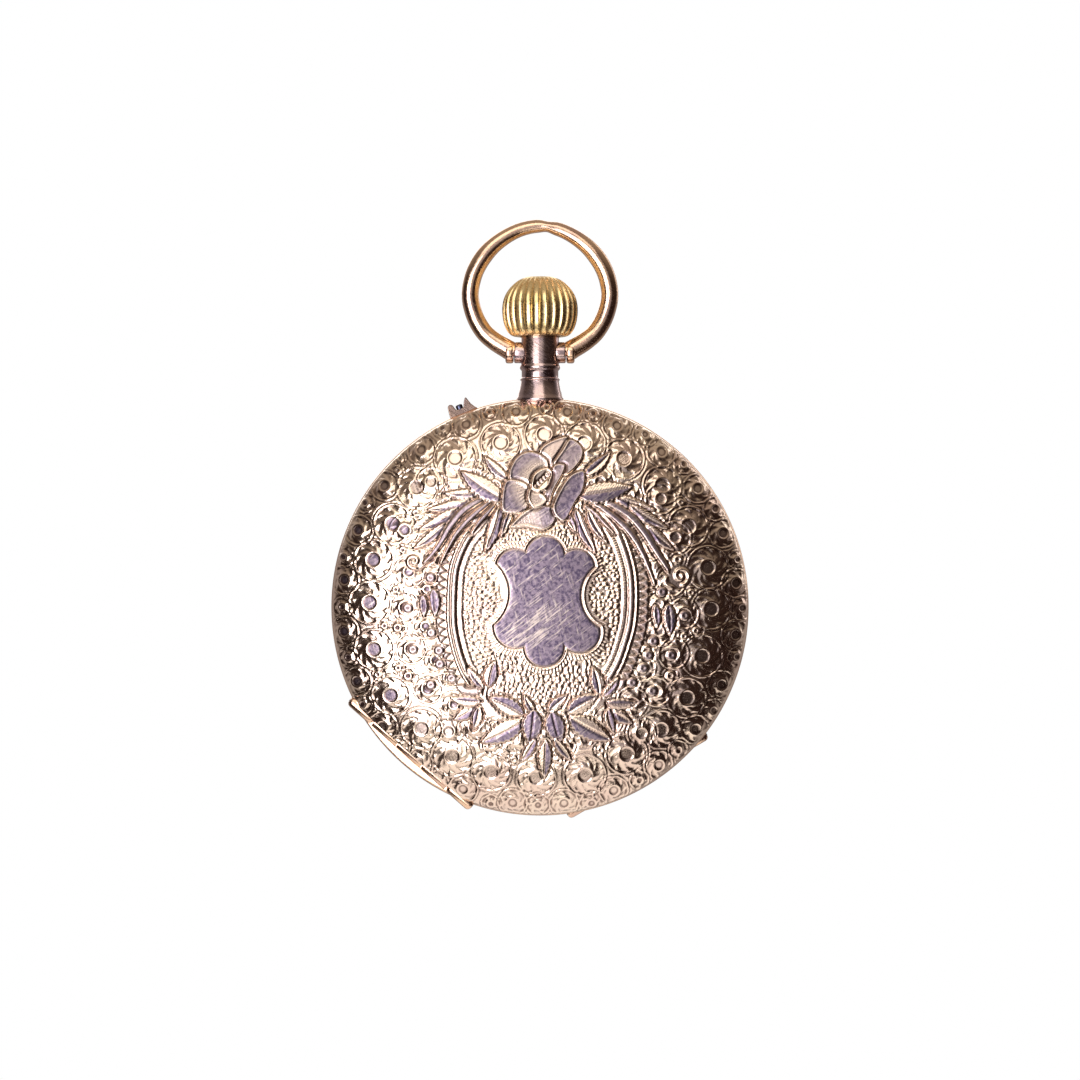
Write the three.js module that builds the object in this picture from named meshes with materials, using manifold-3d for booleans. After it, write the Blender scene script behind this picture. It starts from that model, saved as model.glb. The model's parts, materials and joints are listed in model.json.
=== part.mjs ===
// Hunter-cased pocket watch, crown at the top, in millimetres.
// Written in the watch's own frame: x right, y towards the pendant, z towards the front cover,
// case centre at the origin. The finished group is turned to hang by its bow: +Z up, front at -Y.
import * as THREE from 'three';
import { mergeVertices } from 'three/addons/utils/BufferGeometryUtils.js';
import manifoldModule from 'manifold-3d';

const wasm = await manifoldModule();
wasm.setup();

// ---------------------------------------------------------------- driving dimensions
const CASE_R = 25;            // case band, outside radius
const COVER_R = 24.85;        // both covers, outside radius
const COVER_RISE = 6.2;       // height of a cover over its rim
const COVER_WALL = 0.55;
const RIM_Z = 1.3;            // height of the cover rims
const CURVE = 2.6;            // fullness of the bassine cover curve
const FLAT_R = 9;             // flat middle of the rear cover

const HINGE_D = 23.3;         // hinge axis to case centre
const HINGE_Z = 1.27;
const HINGE_HALF = 9.7;
const KNUCKLE_R = 0.7;
const KNUCKLE_GAP = 0.12;
const SOCKET_R = KNUCKLE_R + 0.1;
const PIN_R = 0.27;
const FRONT_HINGE = 228.6;    // direction of each hinge from the centre, in degrees
const REAR_HINGE = 300;
const DUST_D = 21.9;
const DUST_Z = -2.35;
const DUST_KNUCKLE_R = 0.42;

const PENDANT_TOP = 33.2;
const BOSS_Y = 30.5;          // bow pivot
const BOSS_X = 3.1;
const BOW_TOP = 45.68;        // middle of the wire at the top of the bow
const BOW_TOP_WIRE = 0.78;
const CROWN_Y = 32.4;         // underside of the crown
const STEM_END = 12.6;        // inner end of the winding stem
const GUARD = 112;            // direction of the pin-set guard

const PLATE_R = 21.45;
const PLATE_Z = [-0.4, 0.6];
const BRIDGE_Z = [-3.3, -2.5];
const BRIDGE_R = 20.3;
const WINDING_Z = [-3.7, -3.4];  // ratchet wheel, crown wheel and click, over the barrel bridge

const SEG = 40;
const SLIVER = 0.006;         // edges shorter than this, left by the cuts, are closed up
const DEG = Math.PI / 180;

// ---------------------------------------------------------------- materials
const metal = (color, roughness) => () =>
  new THREE.MeshStandardMaterial({ color, roughness, metalness: 1 });
const ROSE_GOLD = metal(0xd3a06c, 0.3);
const YELLOW_GOLD = metal(0xd9b25a, 0.28);
const BRASS = metal(0xc9a860, 0.35);
const GILT = metal(0xd2b273, 0.42);
const STEEL = metal(0xb4b6ba, 0.25);
const BLUED = metal(0x2b3a72, 0.3);
const ENAMEL = () => new THREE.MeshStandardMaterial({ color: 0xf4f1e8, roughness: 0.25, metalness: 0 });
const GLASS = () => new THREE.MeshStandardMaterial({
  color: 0xf2f6f8, roughness: 0.05, metalness: 0, transparent: true, opacity: 0.3,
});

// ---------------------------------------------------------------- solids
function toSolid(geometry) {
  const bare = new THREE.BufferGeometry();
  bare.setAttribute('position', geometry.getAttribute('position').clone());
  if (geometry.index) bare.setIndex(geometry.index.clone());
  const welded = mergeVertices(bare, 1e-5);
  const xyz = welded.getAttribute('position').array;
  const index = welded.index.array;
  const tris = [];
  let volume = 0;
  for (let i = 0; i < index.length; i += 3) {
    const [a, b, c] = [index[i], index[i + 1], index[i + 2]];
    if (a === b || b === c || c === a) continue;
    tris.push(a, b, c);
    const [p, q, r] = [a, b, c].map((k) => new THREE.Vector3().fromArray(xyz, 3 * k));
    volume += p.dot(q.cross(r));
  }
  if (volume < 0) {
    for (let i = 0; i < tris.length; i += 3) [tris[i], tris[i + 1]] = [tris[i + 1], tris[i]];
  }
  return new wasm.Manifold(new wasm.Mesh({
    numProp: 3, vertProperties: Float32Array.from(xyz), triVerts: Uint32Array.from(tris),
  }));
}

const join = (...solids) => solids.reduce((a, b) => a.add(b));
const cut = (solid, ...tools) => tools.reduce((a, b) => a.subtract(b), solid);

// Profile points are [radius, height]; the solid turns about z.
function turned(profile, segments = SEG) {
  const points = profile.map(([r, h]) => new THREE.Vector2(r, h));
  if (profile[0][0] > 0 || profile.at(-1)[0] > 0) points.push(points[0].clone());
  return toSolid(new THREE.LatheGeometry(points, segments).rotateX(Math.PI / 2));
}

const rod = (radius, z0, z1, segments = 10) =>
  turned([[0, z0], [radius, z0], [radius, z1], [0, z1]], segments);

// The same, with its axis along y.
const alongY = (solid) => solid.rotate([-90, 0, 0]);

function slab(shape, z0, z1, curveSegments = 24) {
  const geometry = new THREE.ExtrudeGeometry(shape, {
    depth: z1 - z0, bevelEnabled: false, curveSegments,
  });
  return toSolid(geometry.translate(0, 0, z0));
}

const outline = (points) => new THREE.Shape(points.map(([x, y]) => new THREE.Vector2(x, y)));
const box = (x0, x1, y0, y1, z0, z1) => slab(outline([[x0, y0], [x1, y0], [x1, y1], [x0, y1]]), z0, z1);
const polar = (radius, degrees) => [radius * Math.cos(degrees * DEG), radius * Math.sin(degrees * DEG)];
const aim = (from, to) => Math.atan2(to[1] - from[1], to[0] - from[0]) / DEG;
const at = (solid, [x, y]) => solid.translate([x, y, 0]);

// A strip that follows a plane curve, with a rectangular section.
function strip(path, width, z0, z1) {
  const side = (s) => path.map(([x, y], i) => {
    const [ax, ay] = path[Math.max(i - 1, 0)];
    const [bx, by] = path[Math.min(i + 1, path.length - 1)];
    const length = Math.hypot(bx - ax, by - ay);
    return [x - (s * width * (by - ay)) / 2 / length, y + (s * width * (bx - ax)) / 2 / length];
  });
  return slab(outline([...side(1), ...side(-1).reverse()]), z0, z1);
}

const arc = (radius, from, to, steps) =>
  Array.from({ length: steps + 1 }, (_, i) => polar(radius, from + ((to - from) * i) / steps));

// ---------------------------------------------------------------- toothed wheels
// Pointed teeth; one points along +x before the wheel is turned.
function teeth(count, module) {
  const pitch = (count * module) / 2;
  const step = 360 / count;
  const root = pitch - 1.15 * module;
  const tip = pitch + 0.85 * module;
  return outline(Array.from({ length: count }, (_, i) =>
    [polar(tip, i * step), polar(root, (i + 0.5) * step)]).flat());
}

function pierce(shape, radius, steps = 10) {
  const rim = arc(radius, 0, 360, steps).slice(0, -1);
  shape.holes.push(new THREE.Path(rim.map((p) => new THREE.Vector2(...p))));
}

// Openings between the arms of a wheel.
function cross(shape, arms, inner, outer, width) {
  for (let i = 0; i < arms; i += 1) {
    const edge = (r) => Math.asin(width / 2 / r) / DEG;
    const [a, b] = [(i * 360) / arms, ((i + 1) * 360) / arms];
    const points = [
      ...arc(outer, a + edge(outer), b - edge(outer), 3),
      ...arc(inner, b - edge(inner), a + edge(inner), 1),
    ];
    shape.holes.push(new THREE.Path(points.map((p) => new THREE.Vector2(...p))));
  }
}

function wheel({ count, module, bore, z, arms = 5, rim = 0.75, hub = 1.5, arm = 0.5, turn = 0 }) {
  const shape = teeth(count, module);
  pierce(shape, bore);
  if (arms) cross(shape, arms, hub, (count * module) / 2 - 1.15 * module - rim, arm);
  return slab(shape, z[0], z[1]).rotate([0, 0, turn]);
}

const pinion = (count, module, z, turn) => slab(teeth(count, module), z[0], z[1]).rotate([0, 0, turn]);

// Turn that puts a pinion's gap on the line to the wheel that it meets.
const gapTo = (count, degrees) => degrees + 180 / count;

// ---------------------------------------------------------------- train layout
const MODULES = { barrel: 0.205, centre: 0.165, third: 0.15, fourth: 0.115, winding: 0.22, motion: 0.16 };
const spacing = (module, a, b) => (module * (a + b)) / 2;
const CENTRE = [0, 0];
const BARREL = polar(spacing(MODULES.barrel, 80, 10), 140.1);
const FOURTH = [8.6, 0];
const thirdReach = spacing(MODULES.centre, 64, 8);
const thirdToFourth = spacing(MODULES.third, 60, 8);
const thirdX = (thirdReach ** 2 - thirdToFourth ** 2 + FOURTH[0] ** 2) / (2 * FOURTH[0]);
const THIRD = [thirdX, -Math.sqrt(thirdReach ** 2 - thirdX ** 2)];
const offset = ([x, y], radius, degrees) => [x + polar(radius, degrees)[0], y + polar(radius, degrees)[1]];
const ESCAPE = offset(FOURTH, spacing(MODULES.fourth, 70, 7), -62);
const BALANCE = [6.6, -11.9];
const PALLET = offset(ESCAPE, 3.2, aim(ESCAPE, BALANCE));
const windingReach = spacing(MODULES.winding, 36, 50);
const CROWN_WHEEL = [0, BARREL[1] + Math.sqrt(windingReach ** 2 - BARREL[0] ** 2)];
const MINUTE_WHEEL = polar(spacing(MODULES.motion, 36, 12), -140);
const CLICK = [-12.2, 11.2];
const COCK_FOOT = offset(BALANCE, 7.9, 10);
const PALLET_FOOT = [14.2, -7.0];
const BARREL_FEET = [[-17.4, -1.6], [8.0, 16.0]];
const TRAIN_FEET = [[16.0, 7.0], [16.6, -4.6]];

const parts = {};
const add = (name, solid, material) => {
  parts[name] = { solid, material };
};

// ---------------------------------------------------------------- case band and hinges
const bulge = (radius, rise, r) => RIM_Z + rise * Math.sqrt(Math.max(0, 1 - (r / radius) ** CURVE));

// Hinge pieces are built with the hinge towards +x, then turned to their place.
const knuckle = (radius, d, z, t0, t1, segments = 12) =>
  rod(radius, t0, t1, segments).rotate([-90, 0, 0]).translate([d, 0, z]);

// Where each of a hinge's knuckles starts and ends along its pin.
function knuckleSpans(half, count, gap) {
  const length = (2 * half - gap * (count - 1)) / count;
  return Array.from({ length: count }, (_, i) => {
    const start = -half + i * (length + gap);
    return [start, start + length];
  });
}
const SPANS = knuckleSpans(HINGE_HALF, 5, KNUCKLE_GAP);
const BAND_KNUCKLES = [0, 2, 4];
const COVER_KNUCKLES = [1, 3];
const widened = ([a, b]) => [a - KNUCKLE_GAP / 2, b + KNUCKLE_GAP / 2];
const pinHole = (z) => knuckle(PIN_R + 0.06, HINGE_D, z, -HINGE_HALF - 1, HINGE_HALF + 1, 8);

function bandHinge(solid, side, degrees) {
  let work = solid.rotate([0, 0, -degrees]);
  const z = side * HINGE_Z;
  work = cut(work, box(HINGE_D - 0.73, 26, -9.9, 9.9, ...[side * 1.22, side * 2.2].sort((a, b) => a - b)));
  work = cut(work, ...COVER_KNUCKLES.map((i) => knuckle(SOCKET_R, HINGE_D, z, ...widened(SPANS[i]))));
  work = join(work, ...BAND_KNUCKLES.map((i) => knuckle(KNUCKLE_R, HINGE_D, z, ...SPANS[i])));
  work = cut(work, pinHole(z));
  return work.rotate([0, 0, degrees]);
}

const BAND_PROFILE = [
  [25, -0.95], [25, 0.95], [24.8, 1.22], [23.95, 1.22], [23.95, 1.9], [21.85, 1.9], [21.85, 0.75],
  [21.55, 0.75], [21.55, 0.5], [22.45, 0.5], [22.45, -0.9], [21.55, -0.9], [21.55, -1.9],
  [23.95, -1.9], [23.95, -1.22], [24.8, -1.22],
];
let band = turned(BAND_PROFILE);
band = bandHinge(band, 1, FRONT_HINGE);
band = bandHinge(band, -1, REAR_HINGE);
const dustKnuckles = knuckleSpans(3, 3, KNUCKLE_GAP);
const dustSeats = [0, 2].map((i) => join(
  knuckle(DUST_KNUCKLE_R, DUST_D, DUST_Z, ...dustKnuckles[i], 12),
  box(DUST_D - 0.33, DUST_D + 0.4, ...dustKnuckles[i], DUST_Z + 0.03, -1.7),
));
band = join(band, ...dustSeats.map((s) => s.rotate([0, 0, REAR_HINGE])));
band = cut(
  band,
  knuckle(0.2, DUST_D, DUST_Z, -3.5, 3.5, 10).rotate([0, 0, REAR_HINGE]),
  alongY(rod(0.62, 20, 26)),
  rod(0.5, 20, 26, 12).rotate([0, 90, 0]).rotate([0, 0, GUARD]),
  box(20.9, 24.4, -1.35, 1.35, 0.4, 2.2).rotate([0, 0, 78]),
);
add('case_middle', band, ROSE_GOLD);
const hingePin = (d, z, half, radius, degrees) =>
  knuckle(radius, d, z, -half, half, 8).rotate([0, 0, degrees]);
add('front_hinge_pin', hingePin(HINGE_D, HINGE_Z, HINGE_HALF, PIN_R, FRONT_HINGE), STEEL);
add('rear_hinge_pin', hingePin(HINGE_D, -HINGE_Z, HINGE_HALF, PIN_R, REAR_HINGE), STEEL);
add('dust_cover_hinge_pin', hingePin(DUST_D, DUST_Z, 2.95, 0.14, REAR_HINGE), STEEL);

// ---------------------------------------------------------------- covers
const OUTER_STEPS = [0.36, 0.62, 0.8, 0.92, 0.98, 1];
const INNER_STEPS = [0.45, 0.75, 0.92, 0.985, 1];
function coverShell(flat) {
  const apex = flat ? bulge(COVER_R, COVER_RISE, FLAT_R) : RIM_Z + COVER_RISE;
  const outer = OUTER_STEPS.map((f) => [f * COVER_R, bulge(COVER_R, COVER_RISE, f * COVER_R)]);
  const top = flat ? [[0, apex], [FLAT_R, apex], ...outer.slice(1)] : [[0, apex], ...outer];
  const [innerR, innerRise] = [COVER_R - COVER_WALL, COVER_RISE - COVER_WALL];
  const inner = INNER_STEPS.map((f) => [f * innerR, bulge(innerR, innerRise, f * innerR)]).reverse();
  return [...top, ...inner, [0, apex - COVER_WALL]];
}

function cover(flat, side, degrees) {
  const filled = (reach) => turned([
    [0, RIM_Z - 0.01], ...OUTER_STEPS.map((f) => [f * reach, bulge(reach, COVER_RISE, f * reach)]).reverse(),
    [0, bulge(reach, COVER_RISE, 0)],
  ]);
  let shell = turned(coverShell(flat));
  shell = cut(shell, box(HINGE_D - 0.02, 30, -30, 30, -1, 9));
  const wall = filled(COVER_R).intersect(box(HINGE_D - 0.6, HINGE_D - 0.02, -12, 12, RIM_Z + 0.02, 9));
  let work = join(shell, wall, ...COVER_KNUCKLES.map((i) => knuckle(KNUCKLE_R, HINGE_D, HINGE_Z, ...SPANS[i])));
  work = cut(work, ...BAND_KNUCKLES.map((i) => knuckle(SOCKET_R, HINGE_D, HINGE_Z, ...widened(SPANS[i]))));
  work = cut(work, pinHole(HINGE_Z));
  if (side < 0) work = work.mirror([0, 0, 1]);
  return work.rotate([0, 0, degrees]);
}
add('front_cover', cover(false, 1, FRONT_HINGE), ROSE_GOLD);
add('rear_cover', cover(true, -1, REAR_HINGE), ROSE_GOLD);

// Inner dust cover, hinged beside the rear cover.
const DUST_R = 23.2;
const DUST_RISE = 3.4;
const dustHeight = (reach, rise, r) => 1.96 + rise * Math.sqrt(Math.max(0, 1 - (r / reach) ** 3));
const dustLine = (reach, rise) =>
  [0, 0.6, 0.88, 1].map((f) => [f * reach, dustHeight(reach, rise, f * reach)]);
let dust = turned([...dustLine(DUST_R, DUST_RISE), ...dustLine(DUST_R - 0.4, DUST_RISE - 0.4).reverse()]);
dust = cut(dust, box(DUST_D - 0.02, 30, -30, 30, 0, 9));
dust = join(
  dust,
  box(DUST_D - 0.35, DUST_D - 0.02, -6.9, 6.9, 1.94, 2.87)
    .intersect(turned([...dustLine(DUST_R, DUST_RISE), [0, 1.96]])),
  knuckle(DUST_KNUCKLE_R, DUST_D, -DUST_Z, ...dustKnuckles[1], 12),
);
dust = cut(
  dust,
  ...[0, 2].map((i) => knuckle(DUST_KNUCKLE_R + 0.1, DUST_D, -DUST_Z, ...widened(dustKnuckles[i]), 12)),
  ...[0, 2].map((i) => box(DUST_D - 0.5, 23, ...widened(dustKnuckles[i]), 1, -DUST_Z + 0.01)),
  knuckle(0.2, DUST_D, -DUST_Z, -3.5, 3.5, 10),
);
add('dust_cover', dust.mirror([0, 0, 1]).rotate([0, 0, REAR_HINGE]), YELLOW_GOLD);

// ---------------------------------------------------------------- pendant, bow and crown
let pendant = alongY(turned([
  [0, 24], [3.0, 24], [3.0, 25.35], [2.62, 25.5], [2.28, 27.1], [2.38, 27.3], [2.2, 27.55],
  [2.2, 28.3], [2.3, 28.7], [2.3, PENDANT_TOP], [0, PENDANT_TOP],
], 24));
const bossAxis = rod(1.27, -BOSS_X, BOSS_X, 16).rotate([0, 90, 0]).translate([0, BOSS_Y, 0]);
pendant = cut(
  join(pendant, bossAxis),
  rod(CASE_R + 0.06, -5, 5, 80),
  alongY(rod(0.62, 20, 30)),
  alongY(rod(1.05, 25.8, 40, 20)),
  ...[[-4, -1.55], [1.55, 4]].map(([a, b]) => rod(0.5, a, b, 12).rotate([0, 90, 0]).translate([0, BOSS_Y, 0])),
);
add('pendant', pendant, ROSE_GOLD);

const halfBow = [
  [3.2, 30.5], [3.95, 30.95], [5.47, 31.88], [6.78, 33.06], [7.83, 34.92], [8.37, 37.2], [8.08, 39.4],
  [7.25, 41.3], [5.92, 43.0], [4.15, 44.38], [2.15, 45.32],
];
const bowPath = new THREE.CatmullRomCurve3([
  ...halfBow, [0, BOW_TOP], ...halfBow.map(([x, y]) => [-x, y]).reverse(),
].map(([x, y]) => new THREE.Vector3(x, y, 0)), false, 'centripetal');
const wireRadius = (u) => {
  const s = Math.abs(2 * u - 1);
  return s < 0.5 ? BOW_TOP_WIRE + (1.02 - BOW_TOP_WIRE) * Math.min(1, (s / 0.3) ** 2)
    : 1.02 + 0.2 * ((s - 0.5) / 0.5) ** 2;
};
function sweep(curve, steps, sides, radius) {
  const xyz = [];
  const index = [];
  for (let i = 0; i <= steps; i += 1) {
    const p = curve.getPoint(i / steps);
    const t = curve.getTangent(i / steps);
    if (i === 0 || i === steps) t.set(1, 0, 0);
    for (let k = 0; k < sides; k += 1) {
      const a = (2 * Math.PI * k) / sides;
      const [n, b] = [radius(i / steps) * Math.cos(a), radius(i / steps) * Math.sin(a)];
      xyz.push(p.x - n * t.y, p.y + n * t.x, b);
    }
  }
  const start = xyz.length / 3;
  [0, 1].forEach((u) => xyz.push(...curve.getPoint(u).toArray()));
  for (let k = 0; k < sides; k += 1) {
    const next = (k + 1) % sides;
    for (let i = 0; i < steps; i += 1) {
      const [a, b, c, d] = [i * sides + k, i * sides + next, (i + 1) * sides + k, (i + 1) * sides + next];
      index.push(a, b, d, a, d, c);
    }
    index.push(start, next, k, start + 1, steps * sides + k, steps * sides + next);
  }
  const geometry = new THREE.BufferGeometry();
  geometry.setAttribute('position', new THREE.Float32BufferAttribute(xyz, 3));
  geometry.setIndex(index);
  return toSolid(geometry);
}
const peg = (side) => rod(0.44, 2.3, 3.6, 12).rotate([0, 0, 10]).rotate([0, 90 * side, 0])
  .translate([0, BOSS_Y, 0]);
add('bow', join(sweep(bowPath, 30, 10, wireRadius), peg(1), peg(-1)), ROSE_GOLD);

// Onion crown: alternate meridians are sunk to make the flutes.
const CROWN_LINE = [
  [3.0, 0], [4.3, 1.6], [4.55, 3.3], [4.1, 5.0], [3.0, 6.3], [1.85, 7.17],
];
function flutedCrown(flutes) {
  const [xyz, index] = [[], []];
  const around = 2 * flutes;
  CROWN_LINE.forEach(([r, h], row) => {
    for (let k = 0; k < around; k += 1) {
      const sunk = k % 2 && row > 0 && row < CROWN_LINE.length - 1 ? 0.27 : 0;
      const a = (2 * Math.PI * k) / around;
      xyz.push((r - sunk) * Math.sin(a), CROWN_Y + h, (r - sunk) * Math.cos(a));
    }
  });
  const ends = xyz.length / 3;
  xyz.push(0, CROWN_Y, 0, 0, CROWN_Y + CROWN_LINE.at(-1)[1], 0);
  const last = (CROWN_LINE.length - 1) * around;
  for (let k = 0; k < around; k += 1) {
    const next = (k + 1) % around;
    for (let row = 0; row < CROWN_LINE.length - 1; row += 1) {
      const [a, b] = [row * around, (row + 1) * around];
      index.push(a + k, a + next, b + next, a + k, b + next, b + k);
    }
    index.push(ends, next, k, ends + 1, last + k, last + next);
  }
  const geometry = new THREE.BufferGeometry();
  geometry.setAttribute('position', new THREE.Float32BufferAttribute(xyz, 3));
  geometry.setIndex(index);
  return toSolid(geometry);
}
const crown = cut(
  flutedCrown(30),
  alongY(rod(2.44, CROWN_Y - 1, CROWN_Y + 1.75, 24)),
  alongY(rod(0.56, CROWN_Y, CROWN_Y + 5, 12)),
);
add('crown', crown, YELLOW_GOLD);
add('winding_stem', alongY(join(rod(0.5, 14, CROWN_Y + 4.9, 12), rod(0.4, STEM_END, 14.2, 4))), STEEL);
add('push_sleeve', alongY(turned([[0.58, 26.7], [0.98, 26.7], [0.98, 34.05], [0.58, 34.05]], 20)), STEEL);
const windingTeeth = slab(teeth(16, 0.15), 13.0, 15.3);
add('winding_pinion', alongY(cut(windingTeeth, rod(0.58, 12, 16, 12))), STEEL);

// ---------------------------------------------------------------- pin-set push piece and case springs
const guardBody = slab(outline([
  [25.05, -1.9], [25.7, -1.35], [26.3, -1.15], [26.35, -0.75], [25.95, -0.45], [25.95, 0.45],
  [26.35, 0.75], [26.3, 1.15], [25.7, 1.35], [25.05, 1.9],
]), -0.85, 0.85);
const radialRod = (radius, r0, r1) => rod(radius, r0, r1, 12).rotate([0, 90, 0]);
add('set_pin_guard', cut(guardBody, rod(CASE_R + 0.05, -2, 2, 120), radialRod(0.5, 24, 27))
  .rotate([0, 0, GUARD]), ROSE_GOLD);
add('set_pin', radialRod(0.42, 22.4, 26.0).rotate([0, 0, GUARD]), BLUED);
const caseSpring = (from, to) => strip(arc(22.1, from, to, 14), 0.4, -0.7, 0.3);
const nose = join(box(21.95, 22.25, -1.2, 1.2, 0.2, 1.35), box(21.95, 23.75, -1.2, 1.2, 1.15, 1.45),
  box(23.4, 23.75, -1.2, 1.2, 1.2, 2.05)).rotate([0, 0, 78]);
add('latch_spring', join(caseSpring(20, 82), nose), STEEL);
add('lift_spring', caseSpring(160, 222), STEEL);

// ---------------------------------------------------------------- glass
add('glass_bezel', turned([
  [21.1, 2.0], [22.5, 2.0], [22.45, 2.5], [22.1, 2.85], [21.75, 2.85], [21.75, 2.35], [21.1, 2.35],
], 32), ROSE_GOLD);
const domeLine = (reach, rise, base) =>
  [0, 0.5, 0.82, 1].map((f) => [f * reach, base + rise * (1 - f ** 2.4)]);
add('crystal', turned([
  ...domeLine(21.6, 2.6, 2.95), [21.6, 2.42], [21.0, 2.42], ...domeLine(20.6, 2.0, 2.7).reverse(),
], 32), GLASS);

// ---------------------------------------------------------------- dial and hands
// The dial's twelve is to the left, as in a hunter with its crown at three; seconds are at six.
const dialShape = new THREE.Shape().absarc(0, 0, 21.7, 0, 2 * Math.PI, false);
pierce(dialShape, 1.3);
dialShape.holes.push(new THREE.Path(arc(0.45, 0, 360, 12).slice(0, -1)
  .map(([x, y]) => new THREE.Vector2(x + FOURTH[0], y))));
add('dial', slab(dialShape, 1.6, 1.92, 40), ENAMEL);

function hand(reach, tail, hub, bore, z, degrees, belly) {
  const shape = outline([
    ...arc(hub, 25, 335, 14), [tail, -0.16],
    [belly[0] * reach, -belly[1]], [(belly[0] + 0.1) * reach, -0.22], [reach, -0.06],
    [reach, 0.06], [(belly[0] + 0.1) * reach, 0.22], [belly[0] * reach, belly[1]], [tail, 0.16],
  ]);
  pierce(shape, bore);
  return slab(shape, z[0], z[1]).rotate([0, 0, degrees]);
}
add('hour_hand', hand(11.2, 2.0, 1.75, 1.12, [2.58, 2.76], 135, [0.62, 0.95]), BLUED);
add('minute_hand', hand(17.2, 1.6, 1.3, 0.78, [3.06, 3.22], 60, [0.72, 0.7]), BLUED);
const secondsShape = outline([
  ...arc(0.5, 12, 168, 8), [-1.6, 0.12], [-1.6, -0.12], ...arc(0.5, 192, 348, 8), [4.0, -0.05], [4.0, 0.05],
]);
pierce(secondsShape, 0.27, 10);
add('seconds_hand', at(slab(secondsShape, 2.28, 2.42).rotate([0, 0, -35]), FOURTH), BLUED);

// ---------------------------------------------------------------- motion work under the dial
const twelfth = aim(CENTRE, MINUTE_WHEEL);
const cannon = join(pinion(12, MODULES.motion, [0.72, 1.0], twelfth), rod(0.72, 0.8, 3.34, 16));
add('cannon_pinion', cut(cannon, rod(0.42, 0, 4, 12)), STEEL);
add('minute_wheel', at(cut(join(
  wheel({ count: 36, module: MODULES.motion, bore: 0.3, z: [0.74, 0.92], arms: 0, turn: twelfth + 185 }),
  pinion(10, 0.1536, [0.9, 1.4], gapTo(10, twelfth + 180)),
), rod(0.3, 0, 2, 10)), MINUTE_WHEEL), BRASS);
add('hour_wheel', cut(join(
  wheel({ count: 40, module: 0.1536, bore: 0.8, z: [1.12, 1.36], arms: 0, turn: twelfth }),
  rod(1.06, 1.2, 2.86, 18),
), rod(0.8, 0, 4, 16)), BRASS);

// ---------------------------------------------------------------- plates and bridges
const through = (radius, [x, y], segments = 8) => at(rod(radius, -5, 3, segments), [x, y]);
const SCREWS = {
  barrel_bridge_screw_a: BARREL_FEET[0], barrel_bridge_screw_b: BARREL_FEET[1],
  train_bridge_screw_a: TRAIN_FEET[0], train_bridge_screw_b: TRAIN_FEET[1],
  balance_cock_screw: COCK_FOOT,
};
add('mainplate', cut(
  turned([[0, PLATE_Z[0]], [PLATE_R, PLATE_Z[0]], [PLATE_R, PLATE_Z[1]], [0, PLATE_Z[1]]]),
  box(-1.6, 1.6, STEM_END - 1.0, 22, -1, 2),
  through(0.66, BARREL), through(0.42, CENTRE),
  ...[THIRD, ESCAPE, BALANCE, PALLET].map((p) => through(0.22, p, 8)),
  through(0.27, FOURTH, 10), ...[...Object.values(SCREWS), PALLET_FOOT].map((p) => through(0.5, p)),
), GILT);
add('minute_wheel_stud', at(rod(0.22, 0.66, 1.45, 10), MINUTE_WHEEL), STEEL);

const barrelBridgeShape = outline([
  ...arc(BRIDGE_R, 62, 192, 14), [-3.0, -3.2], [1.6, -2.4], [2.6, -0.9], [3.0, 3.0],
]);
const post = (p, radius = 1.8) => at(rod(radius, BRIDGE_Z[0] + 0.1, PLATE_Z[0] - 0.06, 12), p);
add('barrel_bridge', cut(
  join(slab(barrelBridgeShape, ...BRIDGE_Z), ...BARREL_FEET.map((p) => post(p, 1.7))),
  through(0.66, BARREL), through(0.32, CENTRE), at(rod(2.1, -5, 0, 16), CROWN_WHEEL),
  ...BARREL_FEET.map((p) => through(0.5, p)), at(rod(0.36, -5, 0, 10), CLICK),
), GILT);

const trainBridgeShape = outline([
  ...arc(BRIDGE_R, -19, 52, 8), [4.1, 3.2], [3.5, -1.2], [2.6, -2.9], [3.2, -5.0], [5.2, -5.7], [12.6, -5.6],
]);
add('train_bridge', cut(
  join(slab(trainBridgeShape, ...BRIDGE_Z), post(TRAIN_FEET[0]), post(TRAIN_FEET[1], 1.2)),
  ...[THIRD, FOURTH, ESCAPE].map((p) => through(0.22, p, 8)), ...TRAIN_FEET.map((p) => through(0.5, p)),
), GILT);

// A bar from one round end to another.
function bar([ax, ay], ra, [bx, by], rb, z0, z1) {
  const along = aim([ax, ay], [bx, by]);
  const end = (x, y, r, from) => arc(r, from, from + 180, 6).map(([u, v]) => [x + u, y + v]);
  return slab(outline([...end(ax, ay, ra, along + 90), ...end(bx, by, rb, along - 90)]), z0, z1);
}
add('balance_cock', cut(
  join(bar(BALANCE, 2.1, COCK_FOOT, 1.8, ...BRIDGE_Z), post(COCK_FOOT)),
  through(0.22, BALANCE, 8), through(0.5, COCK_FOOT),
), GILT);
add('pallet_cock', cut(
  join(bar(PALLET, 0.6, PALLET_FOOT, 1.0, -1.4, -1.05), at(rod(1.0, -1.4, -0.46, 10), PALLET_FOOT)),
  through(0.22, PALLET, 8), through(0.5, PALLET_FOOT),
), GILT);
const screw = (head, top, bottom) => join(rod(0.95, top, top + head, 12), rod(0.4, top + head - 0.1, bottom, 6));
Object.entries(SCREWS).forEach(([name, p]) => add(name, at(screw(0.35, -3.72, 0.5), p), BLUED));
add('pallet_cock_screw', at(join(rod(0.8, -1.72, -1.46, 12), rod(0.4, -1.5, 0.5, 6)), PALLET_FOOT), BLUED);

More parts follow.
